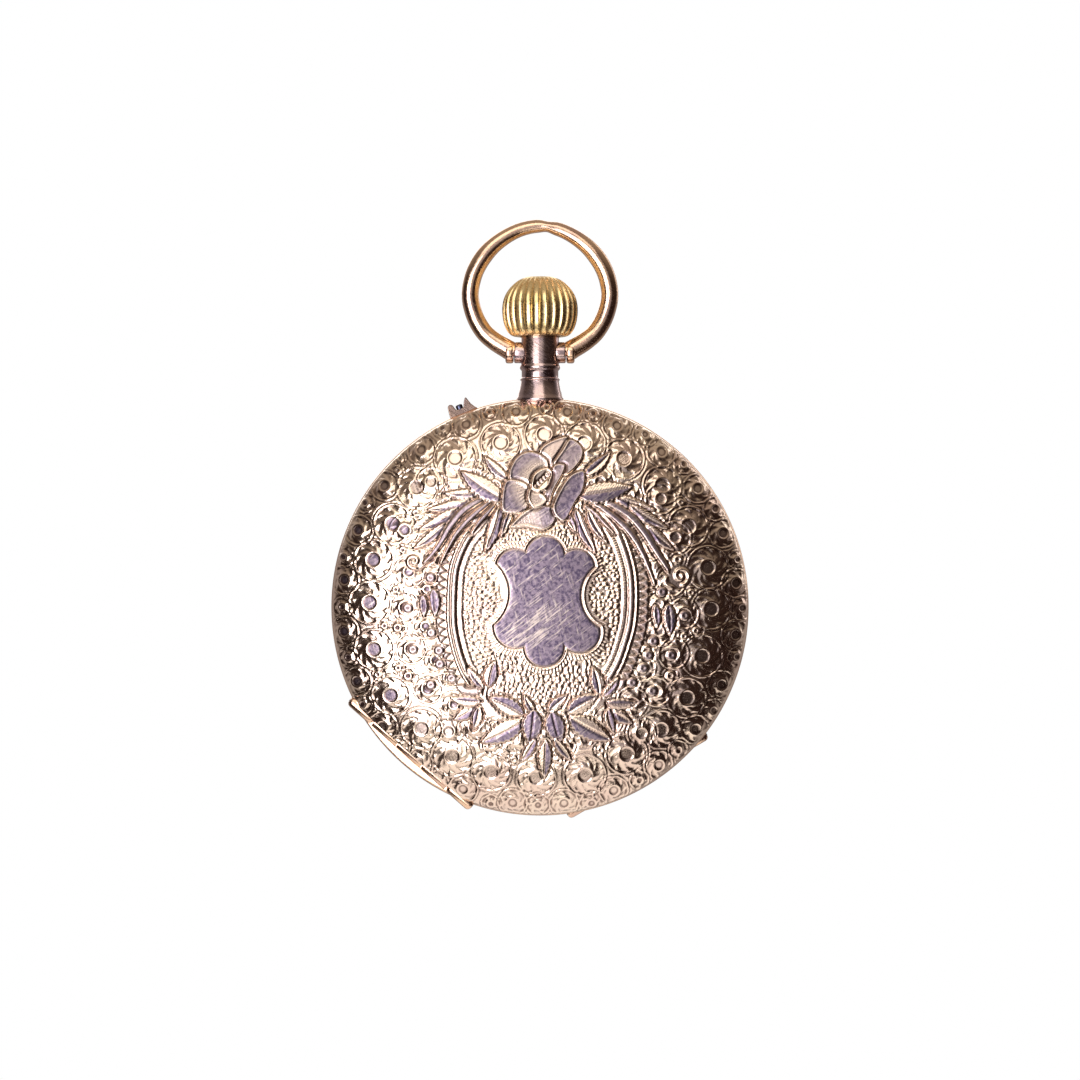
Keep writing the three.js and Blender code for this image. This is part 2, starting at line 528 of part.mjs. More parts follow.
// ---------------------------------------------------------------- going train
const barrelAim = aim(BARREL, CENTRE);
const drum = cut(
  join(slab(teeth(80, MODULES.barrel), -0.95, -0.6).rotate([0, 0, barrelAim]), rod(7.4, -1.5, -0.8, 30)),
  rod(7.05, -2, -0.92, 30),
  rod(0.66, -3, 0, 12),
);
add('barrel', at(drum, BARREL), BRASS);
add('barrel_cover', at(cut(rod(7.4, -1.74, -1.56, 30), rod(0.66, -3, 0, 12)), BARREL), BRASS);
add('barrel_arbor', at(join(rod(0.6, -3.8, 0.5, 14), rod(1.5, -1.45, -1.0, 20)), BARREL), STEEL);
const spiral = (r0, r1, turns, steps) => Array.from({ length: Math.round(turns * steps) + 1 }, (_, i) =>
  polar(r0 + ((r1 - r0) * i) / (turns * steps), (360 * i) / steps));
add('mainspring', at(strip(spiral(1.85, 6.7, 3, 18), 0.28, -1.42, -1.02), BARREL), BLUED);

const centreToThird = aim(CENTRE, THIRD);
const thirdAim = aim(THIRD, FOURTH);
const fourthAim = aim(FOURTH, ESCAPE);
add('centre_wheel', wheel({
  count: 64, module: MODULES.centre, bore: 0.72, z: [-2.15, -1.95], turn: centreToThird,
}), BRASS);
add('centre_pinion', join(
  pinion(10, MODULES.barrel, [-1.8, -0.6], gapTo(10, barrelAim + 180)),
  rod(0.64, -2.4, -1.7, 14), rod(0.36, -0.8, 3.5, 12), rod(0.26, -3.25, -2.3, 10),
), STEEL);
add('third_wheel', at(wheel({
  count: 60, module: MODULES.third, bore: 0.36, z: [-1.35, -1.15], hub: 1.2, turn: thirdAim,
}), THIRD), BRASS);
add('third_pinion', at(join(
  pinion(8, MODULES.centre, [-2.3, -1.5], gapTo(8, centreToThird + 180)),
  rod(0.3, -1.6, -0.5, 10), rod(0.16, -3.2, 0.5, 8),
), THIRD), STEEL);
add('fourth_wheel', at(wheel({
  count: 70, module: MODULES.fourth, bore: 0.34, z: [-1.8, -1.6], hub: 1.1, rim: 0.6, turn: fourthAim,
}), FOURTH), BRASS);
add('fourth_pinion', at(join(
  pinion(8, MODULES.third, [-1.5, -1.0], gapTo(8, thirdAim + 180)),
  rod(0.28, -2.3, -0.5, 10), rod(0.21, -0.6, 2.5, 10), rod(0.16, -3.2, -2.2, 8),
), FOURTH), STEEL);
const escapeShape = outline(Array.from({ length: 15 }, (_, i) =>
  [[1.95, 0], [2.5, 7], [2.5, 10], [1.95, 8.5]].map(([r, a]) => polar(r, 24 * i + a))).flat());
pierce(escapeShape, 0.32, 10);
cross(escapeShape, 4, 0.7, 1.6, 0.35);
add('escape_wheel', at(slab(escapeShape, -0.9, -0.68), ESCAPE), STEEL);
add('escape_pinion', at(join(
  pinion(7, MODULES.fourth, [-1.95, -1.5], gapTo(7, fourthAim + 180)),
  rod(0.26, -1.6, -0.5, 10), rod(0.15, -3.2, 0.5, 8),
), ESCAPE), STEEL);

// ---------------------------------------------------------------- escapement
const leverAim = aim(PALLET, BALANCE);
const half = [
  [4.35, 0.15], [4.75, 0.2], [4.75, 0.5], [4.2, 0.5], [4.0, 0.22], [0.6, 0.35], [0.35, 1.9], [-0.55, 2.0],
  [-0.65, 1.6], [-0.1, 1.5], [-0.35, 0.5],
];
const lever = outline([...half, ...half.map(([x, y]) => [x, -y]).reverse()]);
const fork = join(slab(lever, -0.9, -0.68), rod(0.15, -1.35, 0.5, 8), rod(0.3, -1.0, -0.5, 10));
add('pallet_fork', at(fork.rotate([0, 0, leverAim]), PALLET), STEEL);

const balanceShape = new THREE.Shape().absarc(0, 0, 5.2, 0, 2 * Math.PI, false);
pierce(balanceShape, 0.42, 12);
cross(balanceShape, 3, 0.95, 4.55, 0.6);
const rimScrew = (degrees) =>
  rod(0.26, 5.0, 5.6, 6).rotate([0, 90, 0]).translate([0, 0, -1.78]).rotate([0, 0, degrees]);
const RIM_SCREWS = 9;
const rimScrews = Array.from({ length: RIM_SCREWS }, (_, i) => rimScrew(20 + (360 * i) / RIM_SCREWS));
const balanceWheel = join(slab(balanceShape, -2.0, -1.55, 26), ...rimScrews);
add('balance_wheel', at(balanceWheel, BALANCE), BRASS);
const roller = join(rod(0.7, -1.25, -1.0, 16), rod(0.12, -1.1, -0.66, 8).translate([0.5, 0, 0]));
add('balance_staff', at(join(
  rod(0.34, -2.42, -0.98, 12), rod(0.15, -3.2, 0.5, 8), roller.rotate([0, 0, leverAim + 180]),
), BALANCE), STEEL);
add('hairspring', at(strip(spiral(0.7, 2.7, 4, 14), 0.07, -2.38, -2.2), BALANCE), BLUED);

// ---------------------------------------------------------------- winding work over the barrel bridge
const ratchetAim = aim(BARREL, CROWN_WHEEL);
add('ratchet_wheel', at(wheel({
  count: 50, module: MODULES.winding, bore: 0.68, z: WINDING_Z, arms: 0, turn: ratchetAim,
}), BARREL), STEEL);
add('ratchet_screw', at(rod(1.5, -4.15, -3.88, 14), BARREL), BLUED);
const crownWheel = join(
  wheel({
    count: 36, module: MODULES.winding, bore: 0.5, z: WINDING_Z, arms: 0, turn: gapTo(36, ratchetAim + 180),
  }),
  rod(1.9, -3.5, -1.5, 16),
);
add('crown_wheel', at(cut(crownWheel, rod(0.5, -5, 0, 12)), CROWN_WHEEL), STEEL);
add('crown_wheel_core', at(join(rod(0.42, -3.9, -1.55, 8), rod(1.4, -4.05, -3.78, 14)), CROWN_WHEEL), BLUED);
const clickAim = aim(CLICK, BARREL);
const ratchetTip = 25 * MODULES.winding + 0.85 * MODULES.winding;
const clickGap = Math.hypot(CLICK[0] - BARREL[0], CLICK[1] - BARREL[1]) - ratchetTip;
const clickShape = outline([
  ...arc(0.95, 70, 250, 8), [0.5, -0.85], [clickGap + 0.25, -2.0], [clickGap + 0.2, -1.55], [0.95, 0.2],
]);
pierce(clickShape, 0.42, 10);
add('click', at(slab(clickShape, ...WINDING_Z).rotate([0, 0, clickAim]), CLICK), STEEL);
add('click_screw', at(join(rod(0.32, -3.8, -2.6, 8), rod(0.8, -4.0, -3.76, 12)), CLICK), BLUED);

// ---------------------------------------------------------------- assembly
const group = new THREE.Group();
group.name = 'hunter_pocket_watch';
const hang = new THREE.Matrix4().makeRotationX(Math.PI / 2);
hang.premultiply(new THREE.Matrix4().makeTranslation(0, 0, -(BOW_TOP - BOW_TOP_WIRE)));
for (const [name, { solid, material }] of Object.entries(parts)) {
  const { vertProperties, triVerts, numProp } = solid.simplify(SLIVER).getMesh();
  const positions = new Float32Array((vertProperties.length / numProp) * 3);
  for (let i = 0; i < positions.length / 3; i += 1) {
    positions.set(vertProperties.subarray(i * numProp, i * numProp + 3), 3 * i);
  }
  const geometry = new THREE.BufferGeometry();
  geometry.setAttribute('position', new THREE.BufferAttribute(positions, 3));
  geometry.setIndex(new THREE.BufferAttribute(Uint32Array.from(triVerts), 1));
  geometry.applyMatrix4(hang);
  geometry.computeVertexNormals();
  const mesh = new THREE.Mesh(geometry, material());
  mesh.name = name;
  group.add(mesh);
}

export default group;
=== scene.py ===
import json
import math

import bpy
import numpy as np
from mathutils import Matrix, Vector


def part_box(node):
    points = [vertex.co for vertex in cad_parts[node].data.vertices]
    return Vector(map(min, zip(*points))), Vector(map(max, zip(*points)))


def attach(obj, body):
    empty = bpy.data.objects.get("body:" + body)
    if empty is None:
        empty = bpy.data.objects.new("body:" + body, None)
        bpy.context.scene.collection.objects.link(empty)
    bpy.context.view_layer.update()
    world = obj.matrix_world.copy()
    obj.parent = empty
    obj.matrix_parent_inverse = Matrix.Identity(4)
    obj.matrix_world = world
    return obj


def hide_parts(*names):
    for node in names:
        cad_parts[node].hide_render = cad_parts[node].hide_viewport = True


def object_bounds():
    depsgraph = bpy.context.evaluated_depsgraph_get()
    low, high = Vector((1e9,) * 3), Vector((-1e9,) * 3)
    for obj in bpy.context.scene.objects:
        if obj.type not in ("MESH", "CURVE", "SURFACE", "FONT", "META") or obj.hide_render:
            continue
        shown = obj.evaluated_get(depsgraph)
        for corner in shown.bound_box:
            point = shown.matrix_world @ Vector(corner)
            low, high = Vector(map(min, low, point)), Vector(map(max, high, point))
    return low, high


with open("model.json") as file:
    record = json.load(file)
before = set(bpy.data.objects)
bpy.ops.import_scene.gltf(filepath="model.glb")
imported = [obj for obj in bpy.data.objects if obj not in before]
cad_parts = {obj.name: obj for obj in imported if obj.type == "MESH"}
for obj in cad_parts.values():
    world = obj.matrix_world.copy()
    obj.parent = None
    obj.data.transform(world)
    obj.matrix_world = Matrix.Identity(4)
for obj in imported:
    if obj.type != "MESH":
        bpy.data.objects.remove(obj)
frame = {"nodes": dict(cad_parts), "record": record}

FRAME_BOUNDS = [list(corner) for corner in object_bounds()]

# The watch's own frame, in millimetres: x right, y towards the pendant, z towards the front lid,
# case centre at the origin. It hangs by its bow, so the case centre is below the row's origin.
MM = 0.001
PLATE_LOW, PLATE_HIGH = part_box("mainplate")
CENTRE = ((PLATE_LOW[0] + PLATE_HIGH[0]) / 2, (PLATE_LOW[2] + PLATE_HIGH[2]) / 2)
RNG = np.random.default_rng(7)

COVER_R = 24.85         # a lid's outside radius
COVER_RISE = 6.2        # height of its dome over its rim
COVER_WALL = 0.55
RIM_Z = 1.3             # a lid's rim, from the middle of the case
CURVE = 2.6             # fullness of the dome
FLAT_R = 9.0            # flat middle of the back lid
HINGE_D = 23.3          # a lid's hinge axis, from the case's centre
HINGE_Z = 1.27
HINGE_HALF = 9.7
KNUCKLE_R = 0.7
KNUCKLE_GAP = 0.12
FRONT_HINGE = 228.6     # direction of each hinge from the centre, in degrees
REAR_HINGE = 300.0
DUST_D = 21.9           # the inner back's hinge axis
DUST_Z = -2.35
DUST_KNUCKLE_R = 0.42
BOSS_Y = 30.5           # the bow's pivot
CROWN_Y = 32.4          # the crown's underside
GUARD = 112.0           # direction of the pin-set guard
DIAL_TOP = 1.93
SECONDS_X = 8.6         # centre of the seconds dial
PAINT_LOW, PAINT_HIGH = DIAL_TOP - 0.02, DIAL_TOP + 0.012
SCRATCHES = math.radians(-38)  # slant of the long scratches on the shield
PIXEL = 0.05            # step of the engraving's height map
HALF_MAP = 25.2         # and half its width


def to_row(points):
    """Points in the watch's frame, in mm, as points in the row frame, in metres."""
    p = np.asarray(points, dtype=float)
    return np.column_stack((CENTRE[0] + p[:, 0] * MM, -p[:, 2] * MM, CENTRE[1] + p[:, 1] * MM))


def spin(points, degrees):
    """Points turned about the case's axis."""
    c, s = math.cos(math.radians(degrees)), math.sin(math.radians(degrees))
    p = np.asarray(points, dtype=float)
    return np.column_stack((c * p[:, 0] - s * p[:, 1], s * p[:, 0] + c * p[:, 1], p[:, 2]))


def polar(radius, degrees):
    return radius * math.cos(math.radians(degrees)), radius * math.sin(math.radians(degrees))


def smooth(low, high, value):
    t = np.clip((value - low) / (high - low), 0.0, 1.0)
    return t * t * (3 - 2 * t)


def hump(distance, width):
    """1 on a line, and next to nothing twice the width away from it."""
    return np.exp(-((distance / width) ** 2))


def mound(t):
    """A rounded rise over -1 to 1, level outside it."""
    return np.clip(1 - t**2, 0, 1)


def within(path, x, y):
    """Which points a closed path goes round."""
    inside = np.zeros(x.shape, dtype=bool)
    for (ax, ay), (bx, by) in zip(path[:-1], path[1:]):
        if by != ay:
            inside ^= ((ay > y) != (by > y)) & (x < (bx - ax) * (y - ay) / (by - ay) + ax)
    return inside


# ---------------------------------------------------------------- mesh making
def piece(name, parts, body, material, stands_for, sharp=35, bevel=0.0):
    """One object made of closed shells, each (points in mm, faces), riding on a CAD body."""
    points, faces, start = [], [], 0
    for xyz, polygons in parts:
        points.append(np.asarray(xyz, dtype=float))
        faces += [tuple(int(i) + start for i in f) for f in polygons]
        start += len(xyz)
    mesh = bpy.data.meshes.new(name)
    mesh.from_pydata(to_row(np.vstack(points)).tolist(), [], faces)
    mesh.validate()
    obj = bpy.data.objects.new(name, mesh)
    bpy.context.scene.collection.objects.link(obj)
    mesh.materials.append(material)
    mesh.shade_smooth()
    if sharp:
        mesh.set_sharp_from_angle(angle=math.radians(sharp))
    if bevel:
        edge = obj.modifiers.new("edge", "BEVEL")
        edge.width, edge.segments, edge.limit_method = bevel * MM, 2, "ANGLE"
        edge.angle_limit = math.radians(40)
        edge.harden_normals = True
    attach(obj, body)
    if stands_for:
        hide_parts(*stands_for)
    return obj


def ring_faces(rows, around, closed_rows=False):
    """Faces between rings of points, one over another, the last joined to the first if the rows close."""
    bands = [(i * around, (i + 1) % rows * around) for i in range(rows if closed_rows else rows - 1)]
    steps = [(k, (k + 1) % around) for k in range(around)]
    return [(a + k, a + n, b + n, b + k) for a, b in bands for k, n in steps]


def closed_rings(rings, low, high):
    """A shell through rings of points, one over another, drawn in to a point at each end."""
    around = len(rings[0])
    xyz = np.vstack([*rings, [low], [high]])
    faces = ring_faces(len(rings), around)
    end, last = len(xyz) - 2, (len(rings) - 1) * around
    for k in range(around):
        n = (k + 1) % around
        faces.append((end, n, k))
        faces.append((end + 1, last + k, last + n))
    return xyz, outward(xyz, faces)


def ring(radius, z, angles):
    """Points round the z axis, at angles in radians."""
    return np.column_stack((radius * np.cos(angles), radius * np.sin(angles), np.full(len(angles), z)))


def lathe(profile, segments):
    """A solid turned about z from a profile of (radius, z) that starts and ends on the axis or closes."""
    solid = profile[0][0] == 0 and profile[-1][0] == 0
    angles = np.arange(segments) * 2 * math.pi / segments
    rings = [ring(r, z, angles) for r, z in (profile[1:-1] if solid else profile)]
    if solid:
        return closed_rings(rings, (0, 0, profile[0][1]), (0, 0, profile[-1][1]))
    xyz = np.vstack(rings)
    return xyz, outward(xyz, ring_faces(len(rings), segments, closed_rows=True))


def outward(xyz, faces):
    """The faces wound so that a closed shell's normals point out."""
    p = np.asarray(xyz, dtype=float)
    volume = sum(np.dot(p[f[0]], np.cross(p[b], p[c])) for f in faces for b, c in zip(f[1:], f[2:]))
    return faces if volume > 0 else [tuple(reversed(f)) for f in faces]


def along_y(shell):
    xyz, faces = shell
    return np.column_stack((xyz[:, 0], xyz[:, 2], -xyz[:, 1])), faces


def along_x(shell):
    xyz, faces = shell
    return np.column_stack((xyz[:, 2], xyz[:, 1], -xyz[:, 0])), faces


def moved(shell, x=0.0, y=0.0, z=0.0, turn=0.0):
    xyz, faces = shell
    return spin(xyz + np.array([x, y, z]), turn), faces


def stack(xyz, around):
    """A closed shell through equal rings of points, one over another, with a flat face at each end."""
    last = len(xyz) - around
    faces = ring_faces(len(xyz) // around, around)
    faces += [tuple(range(around))[::-1], tuple(range(last, last + around))]
    return np.array(xyz), outward(xyz, faces)


def extrude(outline, z0, z1):
    """A flat closed outline of (x, y) raised from z0 to z1."""
    return stack([(x, y, z) for z in (z0, z1) for x, y in outline], len(outline))


def rounded(radius, z0, z1, edge, segments):
    """A turned pin with rounded ends."""
    steps = [0, 30, 60, 90]
    low = [(radius - edge + polar(edge, a)[1], z0 + edge - polar(edge, a)[0]) for a in steps]
    high = [(r, z1 - (z - z0)) for r, z in reversed(low)]
    return lathe([(0, z0), *low, *high, (0, z1)], segments)


def sweep(path, radii, sides):
    """A wire along a path in the xy plane, closed by flat ends; its radii lie in the plane and along z."""
    path = np.asarray(path, dtype=float)
    tangent = np.gradient(path, axis=0)
    tangent /= np.linalg.norm(tangent, axis=1)[:, None]
    xyz = []
    for (x, y), (tx, ty), (flat, deep) in zip(path, tangent, radii):
        for k in range(sides):
            n, b = polar(1.0, 360 * k / sides)
            xyz.append((x - n * flat * ty, y + n * flat * tx, b * deep))
    return stack(xyz, sides)


def curve(points, steps, closed=False):
    """A smooth line through the points."""
    p = np.asarray(points, dtype=float)
    if closed:
        p = np.vstack((p[-1], p, p[0], p[1]))
    else:
        p = np.vstack((2 * p[0] - p[1], p, 2 * p[-1] - p[-2]))
    t = np.linspace(0, 1, steps, endpoint=False)[:, None]
    out = []
    for a, b, c, d in zip(p[:-3], p[1:-2], p[2:-1], p[3:]):
        out.append(0.5 * (2 * b + (c - a) * t + (2 * a - 5 * b + 4 * c - d) * t**2
                          + (3 * b - a - 3 * c + d) * t**3))
    line = np.vstack(out)
    return np.vstack((line, line[:1] if closed else p[-2]))


# ---------------------------------------------------------------- engraving
class Relief:
    """A height map over a cover, in mm, with how plainly polished (flat) each place is; the flat places also
    take a painted dim mauve reflection.

    The argument says how much painted mauve reflection the daisies' discs near the sides take, most on the
    left.
    """

    def __init__(self, side_reflection):
        self.side_reflection = side_reflection
        self.axis = np.arange(-HALF_MAP, HALF_MAP + PIXEL, PIXEL)
        self.x, self.y = np.meshgrid(self.axis, self.axis)
        self.h = np.zeros_like(self.x)
        self.flat = np.zeros_like(self.x)
        self.busy = np.zeros(self.x.shape, dtype=bool)

    def window(self, low, high):
        def index(v):
            return int(np.clip(round((v + HALF_MAP) / PIXEL), 0, len(self.axis)))
        return slice(index(low[1]), index(high[1]) + 1), slice(index(low[0]), index(high[0]) + 1)

    def near(self, x, y, reach):
        """The window round a point, and each place's distance from it."""
        win = self.window((x - reach, y - reach), (x + reach, y + reach))
        return win, np.hypot(self.x[win] - x, self.y[win] - y)

    def follow(self, path, reach):
        """Near a path: the window, the length along to the nearest place, and the distance from it,
        positive on its left."""
        path = np.asarray(path, dtype=float)
        win = self.window(path.min(0) - reach, path.max(0) + reach)
        x, y = self.x[win], self.y[win]
        best = np.full(x.shape, 1e9)
        along, side = np.zeros_like(x), np.zeros_like(x)
        run = 0.0
        for a, b in zip(path[:-1], path[1:]):
            d = b - a
            length = math.hypot(*d)
            if length < 1e-9:
                continue
            t = np.clip(((x - a[0]) * d[0] + (y - a[1]) * d[1]) / length**2, 0, 1)
            dx, dy = x - a[0] - t * d[0], y - a[1] - t * d[1]
            distance = np.hypot(dx, dy)
            closer = distance < best
            side = np.where(closer, np.sign(d[0] * dy - d[1] * dx) * distance, side)
            along = np.where(closer, run + t * length, along)
            best = np.where(closer, distance, best)
            run += length
        return win, along, side, run

    def scoop(self, path, width, depth):
        """A graver's cut: wide past its heel, running out to a point, deeper towards its left."""
        lean, heel = 0.5, 0.3
        win, along, side, run = self.follow(path, width)
        t = along / run
        half = 0.5 * width * np.minimum(1, np.sqrt(np.clip(t / heel, 0, 1))) * np.clip(1 - t, 0, 1)**0.55
        u = side / np.maximum(half, 1e-6)
        inside = np.abs(u) < 1
        bowl = (1 - u * u) * (1 + lean * u) * (half / (0.5 * width))**0.7
        self.h[win] = np.where(inside, self.h[win] - depth * bowl, self.h[win])
        self.busy[win] |= inside

    def line(self, path, width, depth):
        """An even groove, or a raised cord where depth is negative."""
        win, _, side, _ = self.follow(path, width)
        self.h[win] -= depth * mound(2 * side / width)

    def fringe(self, path, start, end, pitch, depth):
        """Short cuts square to a path, between two distances on its left."""
        win, along, side, _ = self.follow(path, max(abs(start), abs(end)))
        band = smooth(start - 0.05, start + 0.1, side) * (1 - smooth(end - 0.15, end, side))
        self.h[win] -= depth * band * (0.5 - 0.5 * np.cos(2 * math.pi * along / pitch))

    def teeth(self, path, start, end, pitch, depth):
        """A saw-tooth border between two distances from a path, positive on its left."""
        win, along, side, _ = self.follow(path, max(abs(start), abs(end)) + 0.2)
        across = (side - start) / (end - start)
        inside = (across > -0.1) & (across < 1.1)
        saw = np.abs(2 * (along / pitch % 1) - 1)
        raised = smooth(-0.12, 0.12, saw - across)
        shape = 0.1 * raised - 0.12 * hump(saw - across, 0.16) - 0.05
        self.h[win] = np.where(inside, shape * depth / 0.12, self.h[win])
        self.flat[win] = np.where(inside, 0.55 * raised, self.flat[win])
        self.busy[win] |= inside

    def clear(self, win, mask, height, flat):
        """Lays a new form over what is already cut, where the mask is 1."""
        self.h[win] = self.h[win] * (1 - mask) + height * mask
        self.flat[win] = self.flat[win] * (1 - mask) + flat * mask
        self.busy[win] |= mask > 0.5

    def leaf(self, base, tip, width, bend, dull, rise=0.05):
        """A pointed leaf; its dull side (1 left, -1 right, 0 both) is plain and the other is ribbed."""
        base, tip = np.asarray(base, dtype=float), np.asarray(tip, dtype=float)
        d = tip - base
        middle = (base + tip) / 2 + bend * np.array([-d[1], d[0]])
        s = np.linspace(0, 1, 9)[:, None]
        path = (1 - s)**2 * base + 2 * s * (1 - s) * middle + s**2 * tip
        win, along, side, run = self.follow(path, width * 0.5 + 0.4)
        t = np.clip(along / run, 0, 1)
        half = 0.5 * width * np.sin(math.pi * t**0.8)**0.85 + 0.02
        half *= 1 + 0.07 * np.sin(2 * math.pi * along / 0.62)
        edge = np.abs(side) - half
        inside = smooth(0.06, -0.04, edge)
        vein = np.abs((along - 0.9 * np.abs(side)) / 0.34 % 1 - 0.5) * 2
        plain = np.ones_like(side) if dull == 0 else (side * dull > 0).astype(float)
        body = rise + 0.09 * mound(side / half)
        body += 0.07 * hump(edge + 0.12, 0.1) - (0.07 - 0.05 * plain) * vein
        body -= 0.12 * hump(side, 0.1) * (t < 0.93)
        self.clear(win, inside, body, plain * smooth(-0.06, -0.24, edge))
        self.h[win] -= 0.19 * hump(edge - 0.1, 0.13)

    def petal(self, outline, focus, ribs, flat):
        """A closed form with a cut outline; ribs run out from a focus to a plain, raised edge."""
        path = curve(outline, 6, closed=True)
        win, _, side, _ = self.follow(path, 0.5)
        x, y = self.x[win], self.y[win]
        inside = within(path, x, y)
        edge = np.where(inside, -np.abs(side), np.abs(side))
        mask = smooth(0.05, -0.05, edge)
        angle = np.arctan2(y - focus[1], x - focus[0])
        away = np.hypot(x - focus[0], y - focus[1])
        fine = np.abs(angle * 26 / math.pi % 1 - 0.5) * 2
        reach = away[inside].max() if inside.any() else 1.0
        root = smooth(0.78, 0.42, away / reach)
        lift = 0.1 * smooth(0.3, 1.0, away / reach) + 0.14 * hump(edge + 0.16, 0.15)
        body = 0.04 + lift - 0.07 * (0.25 + 0.75 * root) * ribs * fine
        self.clear(win, mask, body, flat * smooth(-0.05, -0.3, edge) * (1 - 0.9 * root * ribs))
        self.h[win] -= 0.22 * hump(edge - 0.08, 0.14)

    def berry(self, x, y, radius):
        win, r = self.near(x, y, radius * 2)
        body = 0.08 * (1 - (r / radius)**2) - 0.14 * hump(r, 0.28 * radius)
        self.clear(win, smooth(radius + 0.05, radius - 0.05, r), body, 0.75 * smooth(radius, radius * 0.8, r))
        self.h[win] -= 0.16 * hump(r - radius - 0.08, 0.12)

    def daisy(self, x, y, reach, petals, turn, disc=0.84):
        """A disc in a bright ring; comma petals whirl round it, wide outside, within a scroll circle."""
        centre = np.array([x, y])
        scroll = [centre + polar(reach, turn + a) for a in range(0, 361, 15)]
        self.line(scroll, 0.62, 0.13)
        self.line(scroll, 0.3, -0.17)
        outer, inner = 0.86 * reach, disc + 0.26
        for k in range(petals):
            start = turn + 360 * k / petals
            path = [centre + polar(outer + (inner - outer) * s, start + 54 * (1 - s)**1.3)
                    for s in np.linspace(0, 1, 6)]
            self.scoop(path, 5.6 * outer / petals, 0.16)
        win, r = self.near(x, y, 1.5)
        ridge = hump(r - disc - 0.1, 0.12)
        body = 0.07 * ridge - 0.07 * smooth(disc, disc - 0.12, r)
        # The discs' painted mauve reflection: faint everywhere, stronger near the sides, most on the left.
        sides = smooth(17, 11, abs(y)) * (0.85 * smooth(-6, -11, x) + 0.25 * smooth(6, 12, x))
        side_reflection = 0.12 + self.side_reflection * sides
        self.clear(win, smooth(disc + 0.32, disc + 0.2, r), body, smooth(disc, disc * 0.85, r) * side_reflection)
        win, r = self.near(x, y, reach)
        self.busy[win] |= r < reach * 1.04

    def grain(self, mask, cell, depth):
        """Closely packed small grains with deep gaps between them."""
        rows, columns = np.where(mask)
        win = slice(rows.min(), rows.max() + 1), slice(columns.min(), columns.max() + 1)
        x, y = self.x[win] / cell + 100, self.y[win] / cell + 100
        size = 260
        jitter = RNG.random((size, size, 3))
        i, j = np.floor(x).astype(int), np.floor(y).astype(int)
        first, second = np.full(x.shape, 9.0), np.full(x.shape, 9.0)
        tone = np.zeros_like(x)
        for di, dj in ((a, b) for a in (-1, 0, 1) for b in (-1, 0, 1)):
            spot = jitter[(j + dj) % size, (i + di) % size]
            gap = np.hypot((i + di + spot[..., 0] - x) * 0.85, j + dj + spot[..., 1] - y)
            closer = gap < first
            second = np.where(closer, first, np.minimum(second, gap))
            tone = np.where(closer, spot[..., 2], tone)
            first = np.where(closer, gap, first)
        shape = -depth * (1 - smooth(0.02, 0.42, second - first)) - 0.06 * tone - 0.05 * first
        self.h[win] = np.where(mask[win], shape, self.h[win])
        self.flat[win] = np.where(mask[win], 0.0, self.flat[win])

    def sample(self, x, y):
        """The height and flatness at scattered points, between the map's pixels."""
        u = np.clip((x + HALF_MAP) / PIXEL, 0, len(self.axis) - 1.001)
        v = np.clip((y + HALF_MAP) / PIXEL, 0, len(self.axis) - 1.001)
        i, j = u.astype(int), v.astype(int)
        fu, fv = u - i, v - j
        out = []
        for grid in (self.h, self.flat, self.shade_and_dirt):
            low = grid[j, i] * (1 - fu) + grid[j, i + 1] * fu
            high = grid[j + 1, i] * (1 - fu) + grid[j + 1, i + 1] * fu
            out.append(low * (1 - fv) + high * fv)
        return out

    def finish(self):
        """Softly limits the depth and finds the hollows, which are darkened with painted shade and dirt, more
        towards the rim.
        """
        limit = 0.24
        self.h = limit * np.tanh(self.h / limit)
        soft = self.h.copy()
        for _ in range(3):
            for axis in (0, 1):
                soft = sum(np.roll(soft, k, axis) for k in range(-3, 4)) / 7
        # The painted shade and dirt in the hollows is made stronger towards the rim.
        rim_weight = 1 + 0.9 * smooth(19.0, 22.5, np.hypot(self.x, self.y))
        self.shade_and_dirt = np.clip(rim_weight * (soft - self.h) / 0.07, 0, 1)


def border(relief):
    """Two rings of whirling daisies round the edge of a cover."""
    inner, outer, count, phase = 20.3, 23.5, 24, -0.5
    pitch = 360 / count
    for k in range(count):
        x, y = polar(outer, phase + (k + 0.5) * pitch)
        relief.daisy(x, y, 1.75, 8, 40 * k, disc=0.6)
    for k in range(count):
        x, y = polar(inner + 0.25 * math.sin(2.4 * k), phase + k * pitch + 1.2 * math.sin(5.1 * k))
        relief.daisy(x, y, 2.42 + 0.12 * math.sin(1.7 * k), 9 + k % 2, 53 * k)


def filler(relief, inner, outer):
    """Packs ever smaller whorls of comma cuts into whatever ground is still plain."""
    for reach, petals, tries in ((1.8, 7, 900), (1.45, 6, 1500), (1.15, 5, 2500), (0.9, 5, 4000),
                                 (0.66, 4, 5000)):
        for _ in range(tries):
            x, y = polar(math.sqrt(RNG.uniform(inner**2, outer**2)), RNG.uniform(0, 360))
            win, r = relief.near(x, y, reach)
            middle = r < 0.9 * reach
            if (relief.busy[win] & middle).sum() < 0.05 * middle.sum():
                relief.daisy(x, y, reach, petals, RNG.uniform(0, 360), disc=0.3 * reach)


# The front lid's centrepiece, each form by its place on the lid.
LOBES = [(0.66, 6.2, 2.3), (-2.85, 4.66, 2.3), (4.36, 4.78, 2.15),
         (-2.8, -2.13, 2.6), (0.55, -4.56, 2.36), (4.7, -2.83, 2.45)]
WAISTS = [(-8.31, 1.77, 4.77), (9.22, 1.5, 4.34)]
LEFT_RAIL = [(-5.9, 11.5), (-7.2, 9.8), (-8.5, 8.3), (-9.5, 6.3), (-10.1, 4.2), (-10.3, 1.4), (-10.3, -1.6),
             (-9.9, -4.1), (-9.1, -6.7), (-8.0, -8.7), (-6.7, -10.2)]
RIGHT_RAIL = [(7.3, 11.7), (8.9, 9.5), (9.9, 7.3), (10.7, 4.4), (10.9, 1.4), (10.7, -1.7), (10.1, -4.1),
              (9.3, -6.4), (8.2, -8.4), (7.0, -10.1)]


